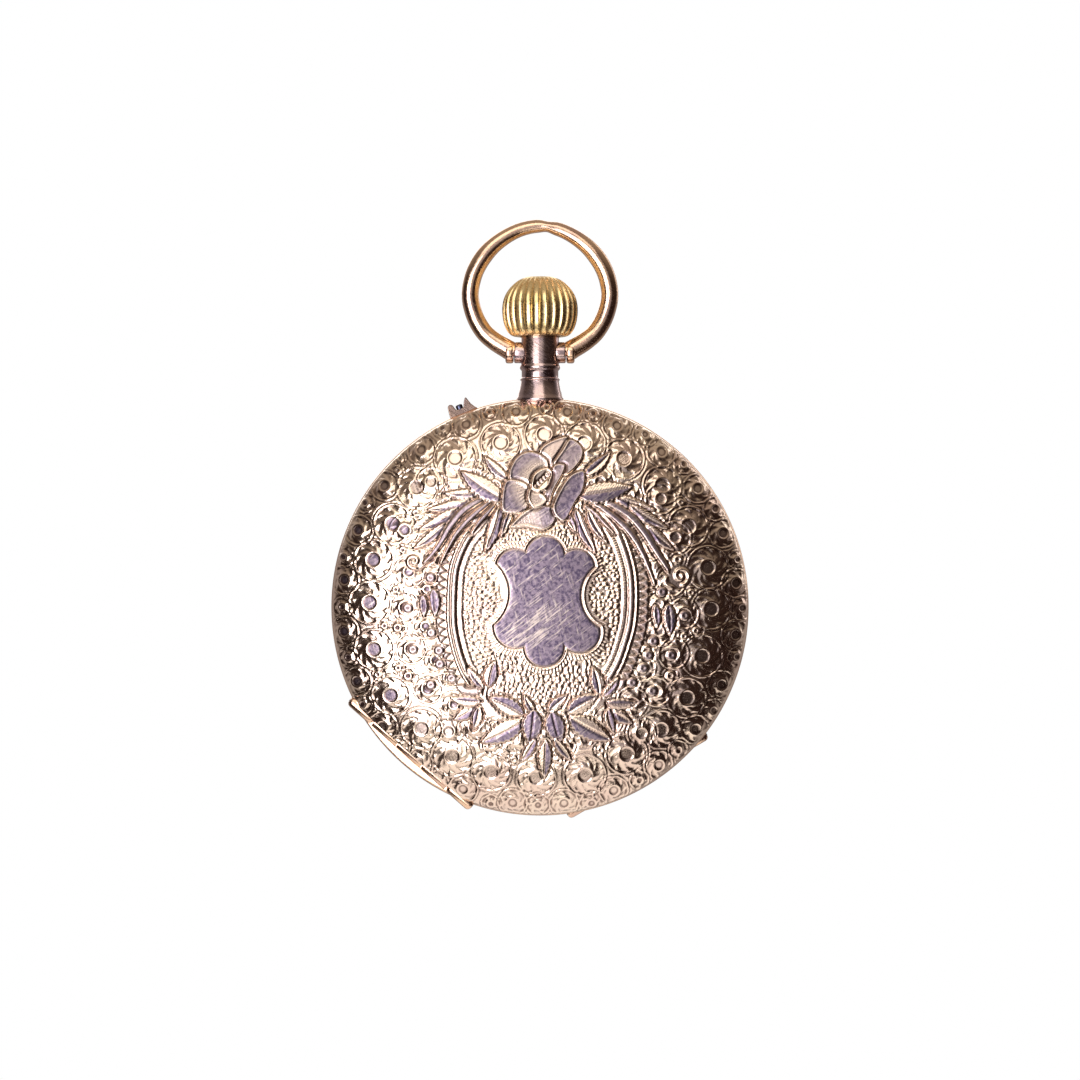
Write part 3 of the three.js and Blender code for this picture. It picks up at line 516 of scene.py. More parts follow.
def shield_distance(x, y):
    """Distance outside the six-lobed shield; negative inside. Its waists are cut in to pointed corners."""
    body = np.maximum(np.abs(y - 1.15) - 4.45, np.abs(x - 0.7) - 4.9)
    for cx, cy, radius in LOBES:
        body = np.minimum(body, np.hypot(x - cx, y - cy) - radius)
    for cx, cy, radius in WAISTS:
        body = np.maximum(body, radius - np.hypot(x - cx, y - cy))
    return body


def oval_ground(relief):
    """The pebbled oval between the rails, with the plain shield and its fringe."""
    outline = [*LEFT_RAIL, (-3.2, -11.6), (0.2, -12.2), (3.8, -11.8), *reversed(RIGHT_RAIL),
               (3.6, 13.2), (-2.6, 13.2)]
    inside = within(curve(outline, 6, closed=True), relief.x, relief.y)
    relief.grain(inside, 0.52, 0.17)
    relief.busy |= inside
    win = relief.window((-8, -9), (10, 11))
    x, y = relief.x[win], relief.y[win]
    away = shield_distance(x, y)
    relief.clear(win, smooth(1.0, 0.85, away), 0, 0)
    angle = np.arctan2(y - 1, x - 0.7)
    ticks = 0.5 + 0.5 * np.cos(angle * 128)
    relief.h[win] -= 0.1 * ticks * smooth(0.28, 0.4, away) * smooth(1.0, 0.8, away)
    relief.h[win] += 0.09 * hump(away - 0.26, 0.12)
    relief.h[win] -= 0.15 * hump(away - 0.03, 0.11)
    relief.flat[win] = np.maximum(relief.flat[win], smooth(0.0, -0.12, away))


def rail(relief, route):
    """A polished rail with the oval on its left: ticks inside it, a saw-tooth border and ticks outside."""
    path = curve(route, 8)
    win, along, side, run = relief.follow(path, 3.2)
    ends = smooth(0.0, 0.6, along) * smooth(run, run - 0.6, along)
    strip = smooth(-0.75, -0.65, side) * (1 - smooth(1.2, 1.3, side)) * ends
    relief.clear(win, strip, 0, 0)
    relief.busy[win] |= (side > -2.4) & (side < 1.3)
    for offset, height, width in ((0.1, 0.13, 0.4), (-0.45, 0.09, 0.22)):
        relief.h[win] += ends * height * np.sqrt(mound((side - offset) / width))
    for offset in (0.55, -0.25, -0.75, 1.3):
        relief.h[win] -= ends * 0.17 * hump(side - offset, 0.1)
    relief.flat[win] = np.maximum(relief.flat[win], ends * 0.4 * (np.abs(side - 0.1) < 0.25))
    relief.fringe(path, 0.62, 1.22, 0.3, 0.12)
    toothed = path[int(len(path) * 0.14):int(len(path) * 0.9)]
    relief.teeth(toothed, -1.75, -0.78, 0.94, 0.24)
    relief.fringe(toothed[::-1], 1.8, 2.35, 0.3, 0.1)


def arm(relief, ribs, curl, radius, leaves):
    """An acanthus arm: leaves behind, long tapering ribs fanning from the top, the outer one curling over."""
    for base, tip, width, bend in leaves:
        relief.leaf(base, tip, width, bend, dull=1 if curl[0] < 0 else -1, rise=0.03)
    for route, wide in ribs:
        win, along, side, run = relief.follow(curve(route, 8), 1.6)
        t = along / run
        half = wide * (0.35 + 0.65 * np.sin(math.pi * np.clip(0.2 + 0.78 * t, 0, 1)))
        edge = np.abs(side) - half
        body = 0.03 + 0.15 * np.sqrt(mound(side / half))
        relief.clear(win, smooth(0.06, -0.05, edge), body, 0.85 * smooth(-0.08, -0.2, edge))
        relief.h[win] -= 0.22 * hump(edge - 0.12, 0.13)
        relief.busy[win] |= edge < 0.3
    cx, cy = curl
    win, r = relief.near(cx, cy, radius * 1.6)
    relief.clear(win, smooth(radius * 1.45, radius * 1.3, r), -0.1, 0)
    end = ribs[0][0][-1]
    start = math.degrees(math.atan2(end[1] - cy, end[0] - cx))
    way = -1 if cx < 0 else 1
    turns = np.linspace(0, 480, 36)
    spiral = [np.add(curl, polar(radius * (1 - 0.0018 * a), start + way * a)) for a in turns]
    relief.line(spiral, 0.5, -0.24)


# Each leaf's base, tip, width, bend and dull side: those round the rose, then the bottom spray's.
LEAVES = [
    ((-4.2, 12.7), (-9.4, 16.2), 2.3, 0.05, 1), ((4.6, 13.2), (11.0, 14.3), 2.4, -0.02, -1),
    ((5.2, 15.6), (8.4, 18.5), 1.4, -0.1, 1), ((-3.8, 15.2), (-6.6, 18.0), 1.3, 0.1, 1),
    ((-4.6, 12.2), (-6.5, 6.5), 1.5, 0.08, 1), ((-3.4, 11.6), (-4.6, 8.3), 1.0, 0.05, -1),
    ((4.2, 11.7), (6.6, 6.4), 1.5, -0.08, -1), ((5.6, 11.6), (8.0, 7.6), 1.1, -0.1, -1),
    ((3.2, 11.2), (4.3, 8.9), 0.9, -0.05, 1),
    ((-1.9, -12.6), (-6.0, -10.5), 2.0, -0.05, -1), ((-1.9, -13.3), (-7.0, -15.9), 2.3, 0.05, 1),
    ((3.5, -12.9), (8.5, -15.6), 2.4, -0.05, -1), ((3.3, -12.3), (6.9, -10.3), 1.9, 0.05, 1),
    ((-0.6, -12.4), (-1.9, -10.2), 1.0, 0.05, 1), ((1.0, -12.2), (3.3, -10.2), 1.3, 0.05, 1),
    ((-0.7, -12.0), (-1.2, -16.2), 2.3, 0.02, 0), ((1.4, -12.2), (2.4, -16.2), 2.3, -0.02, 0),
    ((-0.5, -15.4), (-2.3, -18.3), 1.1, 0.05, 1), ((0.7, -15.6), (0.5, -20.3), 1.6, 0.0, 1),
    ((1.7, -15.4), (3.8, -18.1), 1.1, -0.05, -1), ((-6.0, -9.3), (-5.2, -6.1), 1.6, 0.1, -1),
    ((-6.6, -9.4), (-8.4, -7.0), 1.1, 0.1, 1), ((7.0, -10.2), (6.2, -6.9), 1.6, -0.1, 1),
    ((7.4, -10.4), (9.3, -8.1), 1.1, -0.1, -1), ((-7.4, -11.4), (-10.2, -13.2), 1.5, 0.1, 1),
    ((-7.2, -11.6), (-7.9, -14.4), 1.2, 0.1, -1), ((8.1, -11.7), (11.0, -13.6), 1.5, -0.1, -1),
    ((8.0, -11.9), (8.8, -14.9), 1.2, -0.1, 1), ((-6.9, -11.0), (-10.6, -10.6), 1.2, 0.1, -1),
    ((7.9, -11.2), (11.4, -11.1), 1.2, -0.1, 1),
]


def rose(relief):
    """The half-open rose at the top of the oval, back petals first."""
    heart = (0.3, 14.7)
    for outline, focus, ribs, flat in (
        ([(-0.3, 16.9), (0.1, 18.9), (1.9, 20.0), (3.4, 20.2), (2.6, 18.3), (1.3, 16.6)], heart, 0.3, 0.5),
        ([(1.3, 16.4), (2.7, 18.8), (3.6, 20.0), (5.0, 19.0), (4.9, 17.4), (3.0, 15.6)], heart, 0.2, 0.9),
        ([(-3.6, 15.2), (-3.2, 17.2), (-2.0, 18.3), (-0.5, 18.4), (1.0, 17.3), (0.6, 15.2), (-1.3, 14.4)],
         heart, 1.0, 0.9),
        ([(-4.5, 11.6), (-4.3, 14.4), (-3.5, 15.2), (-1.6, 14.7), (-1.1, 13.2), (-1.7, 11.4), (-3.3, 11.1)],
         heart, 0.8, 0.95),
        ([(-3.6, 9.5), (-1.8, 11.4), (0.2, 12.2), (1.9, 11.6), (1.7, 10.0), (0.4, 9.2), (-1.6, 9.5)],
         (-3.8, 9.4), 0.6, 0.9),
        ([(1.6, 12.4), (3.3, 15.4), (5.2, 16.2), (5.2, 14.1), (4.2, 12.4), (2.9, 10.2), (1.7, 11.0)],
         heart, 0.1, 1.0),
        ([(1.0, 12.1), (1.7, 13.9), (2.7, 15.7), (3.0, 16.9), (1.7, 16.9), (1.0, 15.3), (0.4, 13.2)],
         heart, 0.0, 0.8),
        ([(-1.5, 12.9), (-1.1, 14.2), (0.2, 13.6), (0.9, 12.7), (0.3, 12.0), (-0.8, 11.7)], heart, 0.0, 0.4),
        ([(-1.0, 14.2), (-0.7, 15.8), (0.8, 16.6), (1.5, 15.9), (1.1, 14.4), (0.1, 13.7)], heart, 0.0, 0.0),
    ):
        relief.petal(outline, focus, ribs, flat)
    for k in range(5):
        relief.berry(-0.45 + 0.34 * k, 14.4 + 0.33 * k, 0.2)


def front_relief():
    relief = Relief(side_reflection=1.0)
    border(relief)
    for x, y, reach in ((17.0, -0.7, 1.8), (15.8, -5.4, 1.8), (13.8, -9.9, 1.7), (16.0, 8.3, 1.9),
                        (14.3, 12.9, 1.8), (-15.9, 0.1, 1.8), (-15.2, -4.8, 1.8), (-13.2, -9.6, 1.7),
                        (-16.0, 9.2, 1.8), (-12.9, 14.9, 1.7), (12.0, -14.8, 1.7), (-10.8, -14.6, 1.7)):
        relief.daisy(x, y, reach, 8, 30 * x, disc=0.62)
    inside = np.hypot(relief.x * 0.92, relief.y * 0.8) < 11.4
    relief.busy |= inside
    filler(relief, 9.5, 24.4)
    relief.h[inside] = 0
    oval_ground(relief)
    rail(relief, LEFT_RAIL)
    rail(relief, RIGHT_RAIL[::-1])
    arm(relief, [
        ([(-6.2, 13.2), (-8.9, 11.6), (-10.6, 9.6), (-11.9, 7.4), (-13.3, 5.7), (-14.6, 4.6)], 0.42),
        ([(-5.8, 12.6), (-8.1, 10.7), (-9.8, 8.8), (-10.9, 6.9), (-11.7, 5.3)], 0.34),
        ([(-5.4, 12.0), (-6.9, 10.4), (-8.0, 8.9)], 0.3),
    ], (-14.9, 5.5), 0.85, [((-8.2, 12.8), (-13.4, 11.6), 1.3, 0.1), ((-9.6, 11.8), (-14.4, 9.2), 1.4, 0.1),
                            ((-11.2, 10.0), (-15.0, 7.0), 1.2, 0.1), ((-6.6, 13.8), (-11.4, 13.6), 1.2, 0.1)])
    arm(relief, [
        ([(6.4, 13.3), (10.2, 11.2), (12.2, 9.1), (13.6, 6.9), (14.8, 5.0), (16.1, 3.1), (16.8, 2.7)], 0.44),
        ([(6.0, 12.7), (8.8, 10.7), (10.7, 8.8), (12.0, 6.6), (12.8, 4.7), (13.5, 2.8)], 0.38),
        ([(5.4, 12.0), (7.2, 10.4), (8.7, 8.8)], 0.3),
    ], (16.6, 3.8), 1.1, [((8.6, 13.4), (13.7, 11.6), 1.4, -0.1), ((10.6, 12.2), (15.2, 9.4), 1.4, -0.1),
                          ((12.6, 9.9), (15.9, 6.8), 1.3, -0.1)])
    for x, y, wide, tall in ((-12.6, 0.6, 1.3, 3.4), (15.1, -1.4, 1.5, 3.7), (-13.9, 0.2, 1.0, 2.8),
                             (13.6, -1.0, 1.0, 2.8)):
        relief.leaf((x, y + tall / 2), (x + 0.2, y - tall / 2), wide, 0.08, 0)
    for x, y in ((-12.9, 3.6), (-12.8, -2.9), (-11.9, -5.0), (-11.8, -6.6), (-10.4, -8.3), (-15.0, -4.9),
                 (-15.6, 0.0), (-12.9, -9.1), (14.4, 1.9), (17.1, -0.9), (13.4, -3.9), (12.8, -5.6),
                 (12.2, -7.1), (10.9, -8.8), (15.5, -5.6), (13.3, -9.8)):
        relief.berry(x, y, 0.6)
    for base, tip, width, bend, dull in LEAVES:
        relief.leaf(base, tip, width, bend, dull)
    rose(relief)
    relief.finish()
    return relief


def rear_relief():
    """The back: the same border round a plain polished middle."""
    relief = Relief(side_reflection=0.0)
    border(relief)
    filler(relief, 17.3, 24.4)
    for radius, depth in ((17.0, 0.16), (16.5, -0.08), (16.0, 0.12)):
        relief.line([polar(radius, a) for a in range(0, 361, 4)], 0.36, depth)
    ring = [polar(16.0, a) for a in range(0, 361, 3)]
    relief.fringe(ring, 0.15, 0.95, 0.3, 0.08)
    inside = np.hypot(relief.x, relief.y) < 15.0
    # The polished middle takes some painted mauve reflection.
    relief.flat[inside] = 0.3
    relief.finish()
    return relief


# ---------------------------------------------------------------- materials
def new_material(name):
    material = bpy.data.materials.new(name)
    material.use_nodes = True
    tree = material.node_tree
    return material, tree, tree.nodes["Principled BSDF"]


def fill(tree, sockets, values):
    """Gives each input its value or colour, or links it to the output that the value is."""
    for socket, value in zip(sockets, values):
        if isinstance(value, bpy.types.NodeSocket):
            tree.links.new(value, socket)
        else:
            socket.default_value = (*value, 1.0) if socket.type == "RGBA" else value


def put(tree, node, **values):
    """Sets a node's settings and inputs, whose names have underscores for spaces."""
    for key, value in values.items():
        name = key.replace("_", " ")
        if name in node.inputs:
            fill(tree, [node.inputs[name]], [value])
        else:
            setattr(node, key, value)
    return node


def add(tree, kind, **values):
    return put(tree, tree.nodes.new(kind), **values)


def mix(tree, factor, a, b):
    """A colour mix of two outputs or colours."""
    node = add(tree, "ShaderNodeMix", data_type="RGBA")
    fill(tree, (node.inputs[0], node.inputs[6], node.inputs[7]), (factor, a, b))
    return node.outputs[2]


def summed(tree, a, b, weight=1.0):
    """One value plus a weighted other."""
    node = add(tree, "ShaderNodeMath", operation="MULTIPLY_ADD")
    fill(tree, node.inputs, (b, weight, a))
    return node.outputs[0]


def ramp(tree, source, low, high, out_low=0.0, out_high=1.0):
    return add(tree, "ShaderNodeMapRange", Value=source, From_Min=low, From_Max=high, To_Min=out_low,
               To_Max=out_high).outputs[0]


def mapped(tree, unit, turn, place=(0, 0, 0)):
    """Object coordinates in a turned frame, with its place and the length of a unit on each axis."""
    source = tree.nodes.new("ShaderNodeTexCoord").outputs["Object"]
    return add(tree, "ShaderNodeMapping", vector_type="TEXTURE", Vector=source, Location=place,
               Rotation=(0, turn, 0), Scale=unit).outputs[0]


def noise(tree, scale, detail=3.0, turn=0.0):
    """Noise over object coordinates: so many to the millimetre, on all axes or each of a turned frame."""
    unit = [MM / s for s in np.broadcast_to(scale, 3)]
    return add(tree, "ShaderNodeTexNoise", Vector=mapped(tree, unit, turn), Scale=1.0, Detail=detail,
               Roughness=0.6).outputs["Fac"]


def rubbed_patch(tree):
    """The middle of the shield, low on its left, where slanting scratches and their painted glints lie
    thickest.
    """
    place = (CENTRE[0] - 1.0 * MM, -7.5 * MM, CENTRE[1] - 2.6 * MM)
    patch = mapped(tree, (5.5 * MM, 9 * MM, 3.2 * MM), SCRATCHES, place)
    return add(tree, "ShaderNodeTexGradient", gradient_type="SPHERICAL", Vector=patch).outputs["Fac"]


def attribute(tree, name):
    return add(tree, "ShaderNodeAttribute", attribute_name=name).outputs["Fac"]


def clouded(name, scale, detail, low, high, first, second, **settings):
    """A material that drifts between two colours in soft clouds, with its shader's other settings."""
    material, tree, shader = new_material(name)
    tone = mix(tree, ramp(tree, noise(tree, scale, detail), low, high), first, second)
    put(tree, shader, Base_Color=tone, **settings)
    return material, tree, shader


def worked(tree, shader, gloss, cuts, strength):
    """Makes a shader metallic, with its gloss and fine cuts."""
    bump = add(tree, "ShaderNodeBump", Strength=strength, Distance=0.0001, Height=cuts)
    put(tree, shader, Metallic=1.0, Roughness=gloss, Normal=bump.outputs[0])


def metal(name, bright, dull, roughness, scratch=(0.3, 6.0, 6.0), bump=0.05):
    """A worn polished metal: two tones in soft patches, uneven gloss and fine scratches."""
    material, tree, shader = clouded(name, 0.35, 4.0, 0.4, 0.65, bright, dull)
    fine = noise(tree, scratch, 2.0, turn=0.6)
    worked(tree, shader, ramp(tree, fine, 0.35, 0.7, roughness * 0.75, roughness * 1.4), fine, bump)
    return material


def engraved_gold():
    """Rose gold under engraving: warm ground; flats with a painted dim mauve reflection and painted glints
    along crossing scratches; hollows darkened with painted shade and dirt.
    """
    # hollow is the colour of the painted shade and dirt in the hollows.
    bright, dull, hollow = (0.93, 0.76, 0.62), (0.8, 0.61, 0.52), (0.12, 0.06, 0.045)
    # plain and dark are the painted dim mauve reflection on flat places; lit is a painted glint.
    plain, dark, lit = (0.27, 0.215, 0.27), (0.1, 0.078, 0.13), (0.82, 0.7, 0.6)
    material, tree, shader = new_material("engraved_rose_gold")
    flat, shade_and_dirt = attribute(tree, "flat"), attribute(tree, "shade_and_dirt")
    patches = noise(tree, 0.22)
    ground = mix(tree, ramp(tree, patches, 0.38, 0.66), bright, dull)
    mottle = noise(tree, 2.4, 5.0)
    long_cut = noise(tree, (0.4, 1.0, 6.0), turn=SCRATCHES)
    long_cut = summed(tree, long_cut, rubbed_patch(tree), 0.15)
    cross_cut = noise(tree, (4.0, 1.0, 0.45), turn=math.radians(-14))
    flat_reflection = mix(tree, ramp(tree, mottle, 0.44, 0.6), plain, dark)
    # Painted glints: the scratches are lightened towards the lit tone.
    flat_reflection = mix(tree, ramp(tree, long_cut, 0.57, 0.71, 0.0, 0.7), flat_reflection, lit)
    flat_reflection = mix(tree, ramp(tree, cross_cut, 0.6, 0.72, 0.0, 0.5), flat_reflection, lit)
    # Flat places take the painted dim mauve reflection.
    surface = mix(tree, flat, ground, flat_reflection)
    # Painted shade and dirt darken the hollows.
    surface = mix(tree, ramp(tree, shade_and_dirt, 0.2, 1.0, 0.0, 0.85), surface, hollow)
    put(tree, shader, Base_Color=surface)
    worked(tree, shader, ramp(tree, flat, 0.0, 1.0, 0.2, 0.36), summed(tree, long_cut, cross_cut), 0.16)
    return material


GOLD = engraved_gold()
SMOOTH_GOLD = metal("polished_rose_gold", (0.84, 0.58, 0.4), (0.68, 0.46, 0.36), 0.2)
PENDANT_GOLD = metal("worn_rose_gold", (0.62, 0.46, 0.42), (0.44, 0.34, 0.38), 0.22)
CROWN_GOLD = metal("yellow_gold", (0.97, 0.77, 0.42), (0.86, 0.63, 0.3), 0.3)
DUST_GOLD = metal("inner_gold", (0.9, 0.74, 0.5), (0.82, 0.66, 0.43), 0.12, scratch=1.5)
GILT = metal("gilt_plate", (0.86, 0.66, 0.34), (0.74, 0.54, 0.26), 0.4, scratch=5.0, bump=0.1)
BRASS = metal("brass", (0.8, 0.6, 0.28), (0.66, 0.48, 0.2), 0.28, scratch=(0.5, 4.0, 4.0))
STEEL = metal("steel", (0.62, 0.63, 0.65), (0.45, 0.46, 0.5), 0.25, scratch=(0.5, 8.0, 8.0))
BLUED = metal("blued_steel", (0.02, 0.05, 0.22), (0.04, 0.03, 0.14), 0.2, scratch=4.0)
# A darker copy of the rose gold for the guard, with painted shade on its angled face.
GUARD_GOLD = metal("shaded_rose_gold", (0.34, 0.24, 0.19), (0.22, 0.16, 0.15), 0.2)
PUSH_STEEL = metal("push_pin_steel", (0.1, 0.11, 0.18), (0.05, 0.05, 0.08), 0.2)


def crystal_glass():
    material, tree, shader = new_material("crystal_glass")
    haze = ramp(tree, noise(tree, 0.5), 0.45, 0.8, 0.01, 0.05)
    put(tree, shader, Roughness=haze, Base_Color=(0.98, 0.99, 1.0), Transmission_Weight=1.0, IOR=1.5)
    return material


ENAMEL, _, _ = clouded("white_enamel", 0.12, 4.0, 0.35, 0.7, (0.95, 0.945, 0.92),
                       (0.9, 0.89, 0.85), Roughness=0.12, Coat_Weight=0.6)
PAINT, _, _ = clouded("black_dial_paint", 3.0, 3.0, 0.3, 0.7, (0.012, 0.012, 0.014),
                      (0.03, 0.03, 0.034), Roughness=0.35)
GLASS = crystal_glass()


# ---------------------------------------------------------------- covers
def bulge(radius, rise, r):
    return RIM_Z + rise * np.sqrt(np.clip(1 - (np.abs(r) / radius)**CURVE, 0, None))


def trim(points, degrees, limit):
    """Stands everything past a chord up against it, as a flat wall."""
    c, s = polar(1.0, degrees)
    over = np.clip(points[:, 0] * c + points[:, 1] * s - limit, 0, None)
    points[:, 0] -= over * c
    points[:, 1] -= over * s
    return points


def dome_line(flat_middle):
    """The dome from its top to its rim: distance along it, radius, height and slope at each step."""
    radii = COVER_R * np.sin(np.linspace(0, math.pi / 2, 4000))
    heights = bulge(COVER_R, COVER_RISE, radii)
    if flat_middle:
        heights = np.minimum(heights, bulge(COVER_R, COVER_RISE, FLAT_R))
    length = np.concatenate(([0], np.cumsum(np.hypot(np.diff(radii), np.diff(heights)))))
    return length, (radii, heights, np.gradient(radii, length), np.gradient(heights, length))


def square_grid(cells):
    """A square grid pulled out to a disc: each point's share of the way out and its direction."""
    u, v = np.meshgrid(np.linspace(-1, 1, cells + 1), np.linspace(-1, 1, cells + 1))
    wide = np.abs(u) > np.abs(v)
    safe_u, safe_v = np.where(np.abs(u) < 1e-9, 1e-9, u), np.where(np.abs(v) < 1e-9, 1e-9, v)
    share = np.where(wide, u, v).ravel()
    angle = np.where(wide, math.pi / 4 * v / safe_u, math.pi / 2 - math.pi / 4 * u / safe_v).ravel()
    return np.abs(share), angle + np.where(share < 0, math.pi, 0)


def inner_rows(flat_middle, directions, hinge):
    """Rings of points down the rim and up the inside of a cover."""
    reach, rise = COVER_R - COVER_WALL, COVER_RISE - COVER_WALL
    top = bulge(COVER_R, COVER_RISE, FLAT_R) - COVER_WALL if flat_middle else math.inf
    rows = [(COVER_R - 0.12, RIM_Z), (reach, RIM_Z)]
    rows += [(f * reach, min(float(bulge(reach, rise, f * reach)), top))
             for f in (0.997, 0.985, 0.95, 0.89, 0.8, 0.66, 0.5, 0.32, 0.15)]
    points = trim(np.vstack([ring(r, z, directions) for r, z in rows]), hinge, HINGE_D - 0.6)
    return np.vstack((points, [[0, 0, rows[-1][1]]])), len(rows)


def cover_shell(relief, hinge, flat_middle, side, cells):
    """A cover as one closed shell: an even fine grid outside, coarse rings inside."""
    share, turn = square_grid(cells)
    length, line = dome_line(flat_middle)
    r, z, slope_r, slope_z = (np.interp(share * length[-1], length, values) for values in line)
    out_x, out_y = np.cos(turn), np.sin(turn)
    height, flat, shade_and_dirt = relief.sample(r * out_x, r * out_y)
    c, d = polar(1.0, hinge)
    fade = smooth(COVER_R, COVER_R - 0.35, r)
    fade *= smooth(HINGE_D - 0.05, HINGE_D - 0.35, r * (out_x * c + out_y * d))
    height = height * fade - 0.02
    reach = r - slope_z * height
    outer = trim(np.column_stack((reach * out_x, reach * out_y, z + slope_r * height)), hinge, HINGE_D - 0.02)
    n = cells + 1
    grid = np.arange(n * n).reshape(n, n)
    rim = np.concatenate((grid[0, :-1], grid[:-1, -1], grid[-1, :0:-1], grid[:0:-1, 0]))
    inner, rows = inner_rows(flat_middle, turn[rim], hinge)
    around = len(rim)
    rings = [rim] + [n * n + row * around + np.arange(around) for row in range(rows)]
    hub = np.full(around, n * n + rows * around)
    faces = np.column_stack([grid[:-1, :-1].ravel(), grid[:-1, 1:].ravel(), grid[1:, 1:].ravel(),
                             grid[1:, :-1].ravel()]).tolist()
    for a, b in zip(rings[:-1], rings[1:]):
        faces += np.column_stack((np.roll(a, -1), a, b, np.roll(b, -1))).tolist()
    faces += np.column_stack((np.roll(rings[-1], -1), rings[-1], hub)).tolist()
    points = np.vstack((outer, inner))
    marks = {name: np.concatenate((values * fade, np.zeros(len(inner))))
             for name, values in (("flat", flat), ("shade_and_dirt", shade_and_dirt))}
    if side < 0:
        points[:, 2] *= -1
        faces = [f[::-1] for f in faces]
    return points, faces, marks


def knuckle_spans():
    length = (2 * HINGE_HALF - 4 * KNUCKLE_GAP) / 5
    starts = [-HINGE_HALF + i * (length + KNUCKLE_GAP) for i in range(5)]
    return [(a, a + length) for a in starts]


def knuckles(which, degrees, side):
    shells = []
    for i in which:
        a, b = knuckle_spans()[i]
        shell = along_y(rounded(KNUCKLE_R, a, b, 0.5 if i in (0, 4) else 0.06, 32))
        shells.append(moved(shell, HINGE_D, 0, side * HINGE_Z, degrees))
    return shells


def dust_knuckle(start, end):
    shell = along_y(rounded(DUST_KNUCKLE_R, start, end, 0.05, 24))
    return moved(shell, DUST_D, 0, DUST_Z, REAR_HINGE)


def engraved_cover(name, node, body, relief, hinge, flat_middle, side, cells):
    points, faces, marks = cover_shell(relief, hinge, flat_middle, side, cells)
    obj = piece(name, [(points, faces)], body, GOLD, [node], sharp=0)
    for key, values in marks.items():
        layer = obj.data.attributes.new(key, "FLOAT", "POINT")
        layer.data.foreach_set("value", np.clip(values, 0, 1).astype(np.float32))
    piece(name + "_knuckles", knuckles((1, 3), hinge, side), body, SMOOTH_GOLD, ())


FRONT_CELLS, REAR_CELLS = ((400, 310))
engraved_cover("front_lid_shell", "front_cover", "front_lid", front_relief(), FRONT_HINGE, False, 1,
               FRONT_CELLS)
engraved_cover("rear_lid_shell", "rear_cover", "rear_lid", rear_relief(), REAR_HINGE, True, -1, REAR_CELLS)


def dust_cover():
    """The plain inner back, domed a little, on its own hinge beside the back lid's."""
    def line(reach, rise):
        return [(f * reach, 1.96 + rise * math.sqrt(max(0.0, 1 - f**3)))
                for f in (0.0, 0.2, 0.4, 0.58, 0.72, 0.83, 0.91, 0.96, 0.985, 1.0)]
    xyz, faces = lathe(line(23.2, 3.4) + line(22.8, 3.0)[::-1], 192)
    xyz = trim(xyz, REAR_HINGE, DUST_D - 0.02)
    xyz[:, 2] *= -1
    shells = [(xyz, [f[::-1] for f in faces]), dust_knuckle(-0.92, 0.92)]
    piece("dust_lid_shell", shells, "dust_lid", DUST_GOLD, ["dust_cover"], sharp=40)


dust_cover()


# ---------------------------------------------------------------- case band
def case_band():
    """The band between the lids, with its snap lips cut away behind each hinge."""
    profile = [
        (25, -0.7), (25, 0.7), (24.93, 0.95), (24.8, 1.15), (24.6, 1.22), (23.95, 1.22), (23.95, 1.82),
        (23.85, 1.9), (21.85, 1.9), (21.85, 0.75), (21.55, 0.75), (21.55, 0.5), (22.45, 0.5), (22.45, -0.9),
        (21.55, -0.9), (21.55, -1.9), (23.85, -1.9), (23.95, -1.82), (23.95, -1.22), (24.6, -1.22),
        (24.8, -1.15), (24.93, -0.95),
    ]
    xyz, faces = lathe(profile, 288)
    for degrees, side in ((FRONT_HINGE, 1), (REAR_HINGE, -1)):
        c, s = polar(1.0, degrees)
        reach = xyz[:, 0] * c + xyz[:, 1] * s
        lip = (reach > HINGE_D - 0.73) & (side * xyz[:, 2] > 1.22)
        xyz[lip, 2] = side * 1.22
    shells = [(xyz, faces), *knuckles((0, 2, 4), FRONT_HINGE, 1), *knuckles((0, 2, 4), REAR_HINGE, -1)]
    shells += [dust_knuckle(-3.0, -1.08), dust_knuckle(1.08, 3.0)]
    piece("case_band", shells, "case", SMOOTH_GOLD, ["case_middle"], sharp=30)


case_band()


# ---------------------------------------------------------------- pendant, bow and crown
def side_pins(radius, near, far, edge, segments):
    """A pin along x on each side of the pendant, at the bow's pivot."""
    return [moved(along_x(rounded(radius, a, b, edge, segments)), y=BOSS_Y)
            for a, b in ((-far, -near), (near, far))]


def pendant():
    """The waisted neck, with a boss on each side for the bow."""
    profile = [
        (0, 24.4), (2.5, 24.4), (2.82, 24.7), (2.84, 24.95), (2.7, 25.15), (2.62, 25.5), (2.45, 26.1),
        (2.33, 26.7), (2.28, 27.1), (2.36, 27.18), (2.38, 27.3), (2.3, 27.42), (2.2, 27.5), (2.2, 28.3),
        (2.32, 28.42), (2.42, 28.62), (2.42, 28.85), (2.32, 29.0), (2.3, 29.1), (2.3, 32.85), (2.26, 33.0),
        (2.15, 33.08), (1.05, 33.08), (1.05, 26.0), (0, 26.0),
    ]
    shells = [along_y(lathe(profile, 72)), *side_pins(1.27, 1.6, 3.1, 0.18, 40)]
    piece("pendant_tube", shells, "case", PENDANT_GOLD, ["pendant"], sharp=50)


pendant()

HALF_BOW = [(3.2, 30.5), (3.95, 30.95), (5.47, 31.88), (6.78, 33.06), (7.83, 34.92), (8.37, 37.2),
            (8.08, 39.4), (7.25, 41.3), (5.92, 43.0), (4.15, 44.38), (2.15, 45.32)]


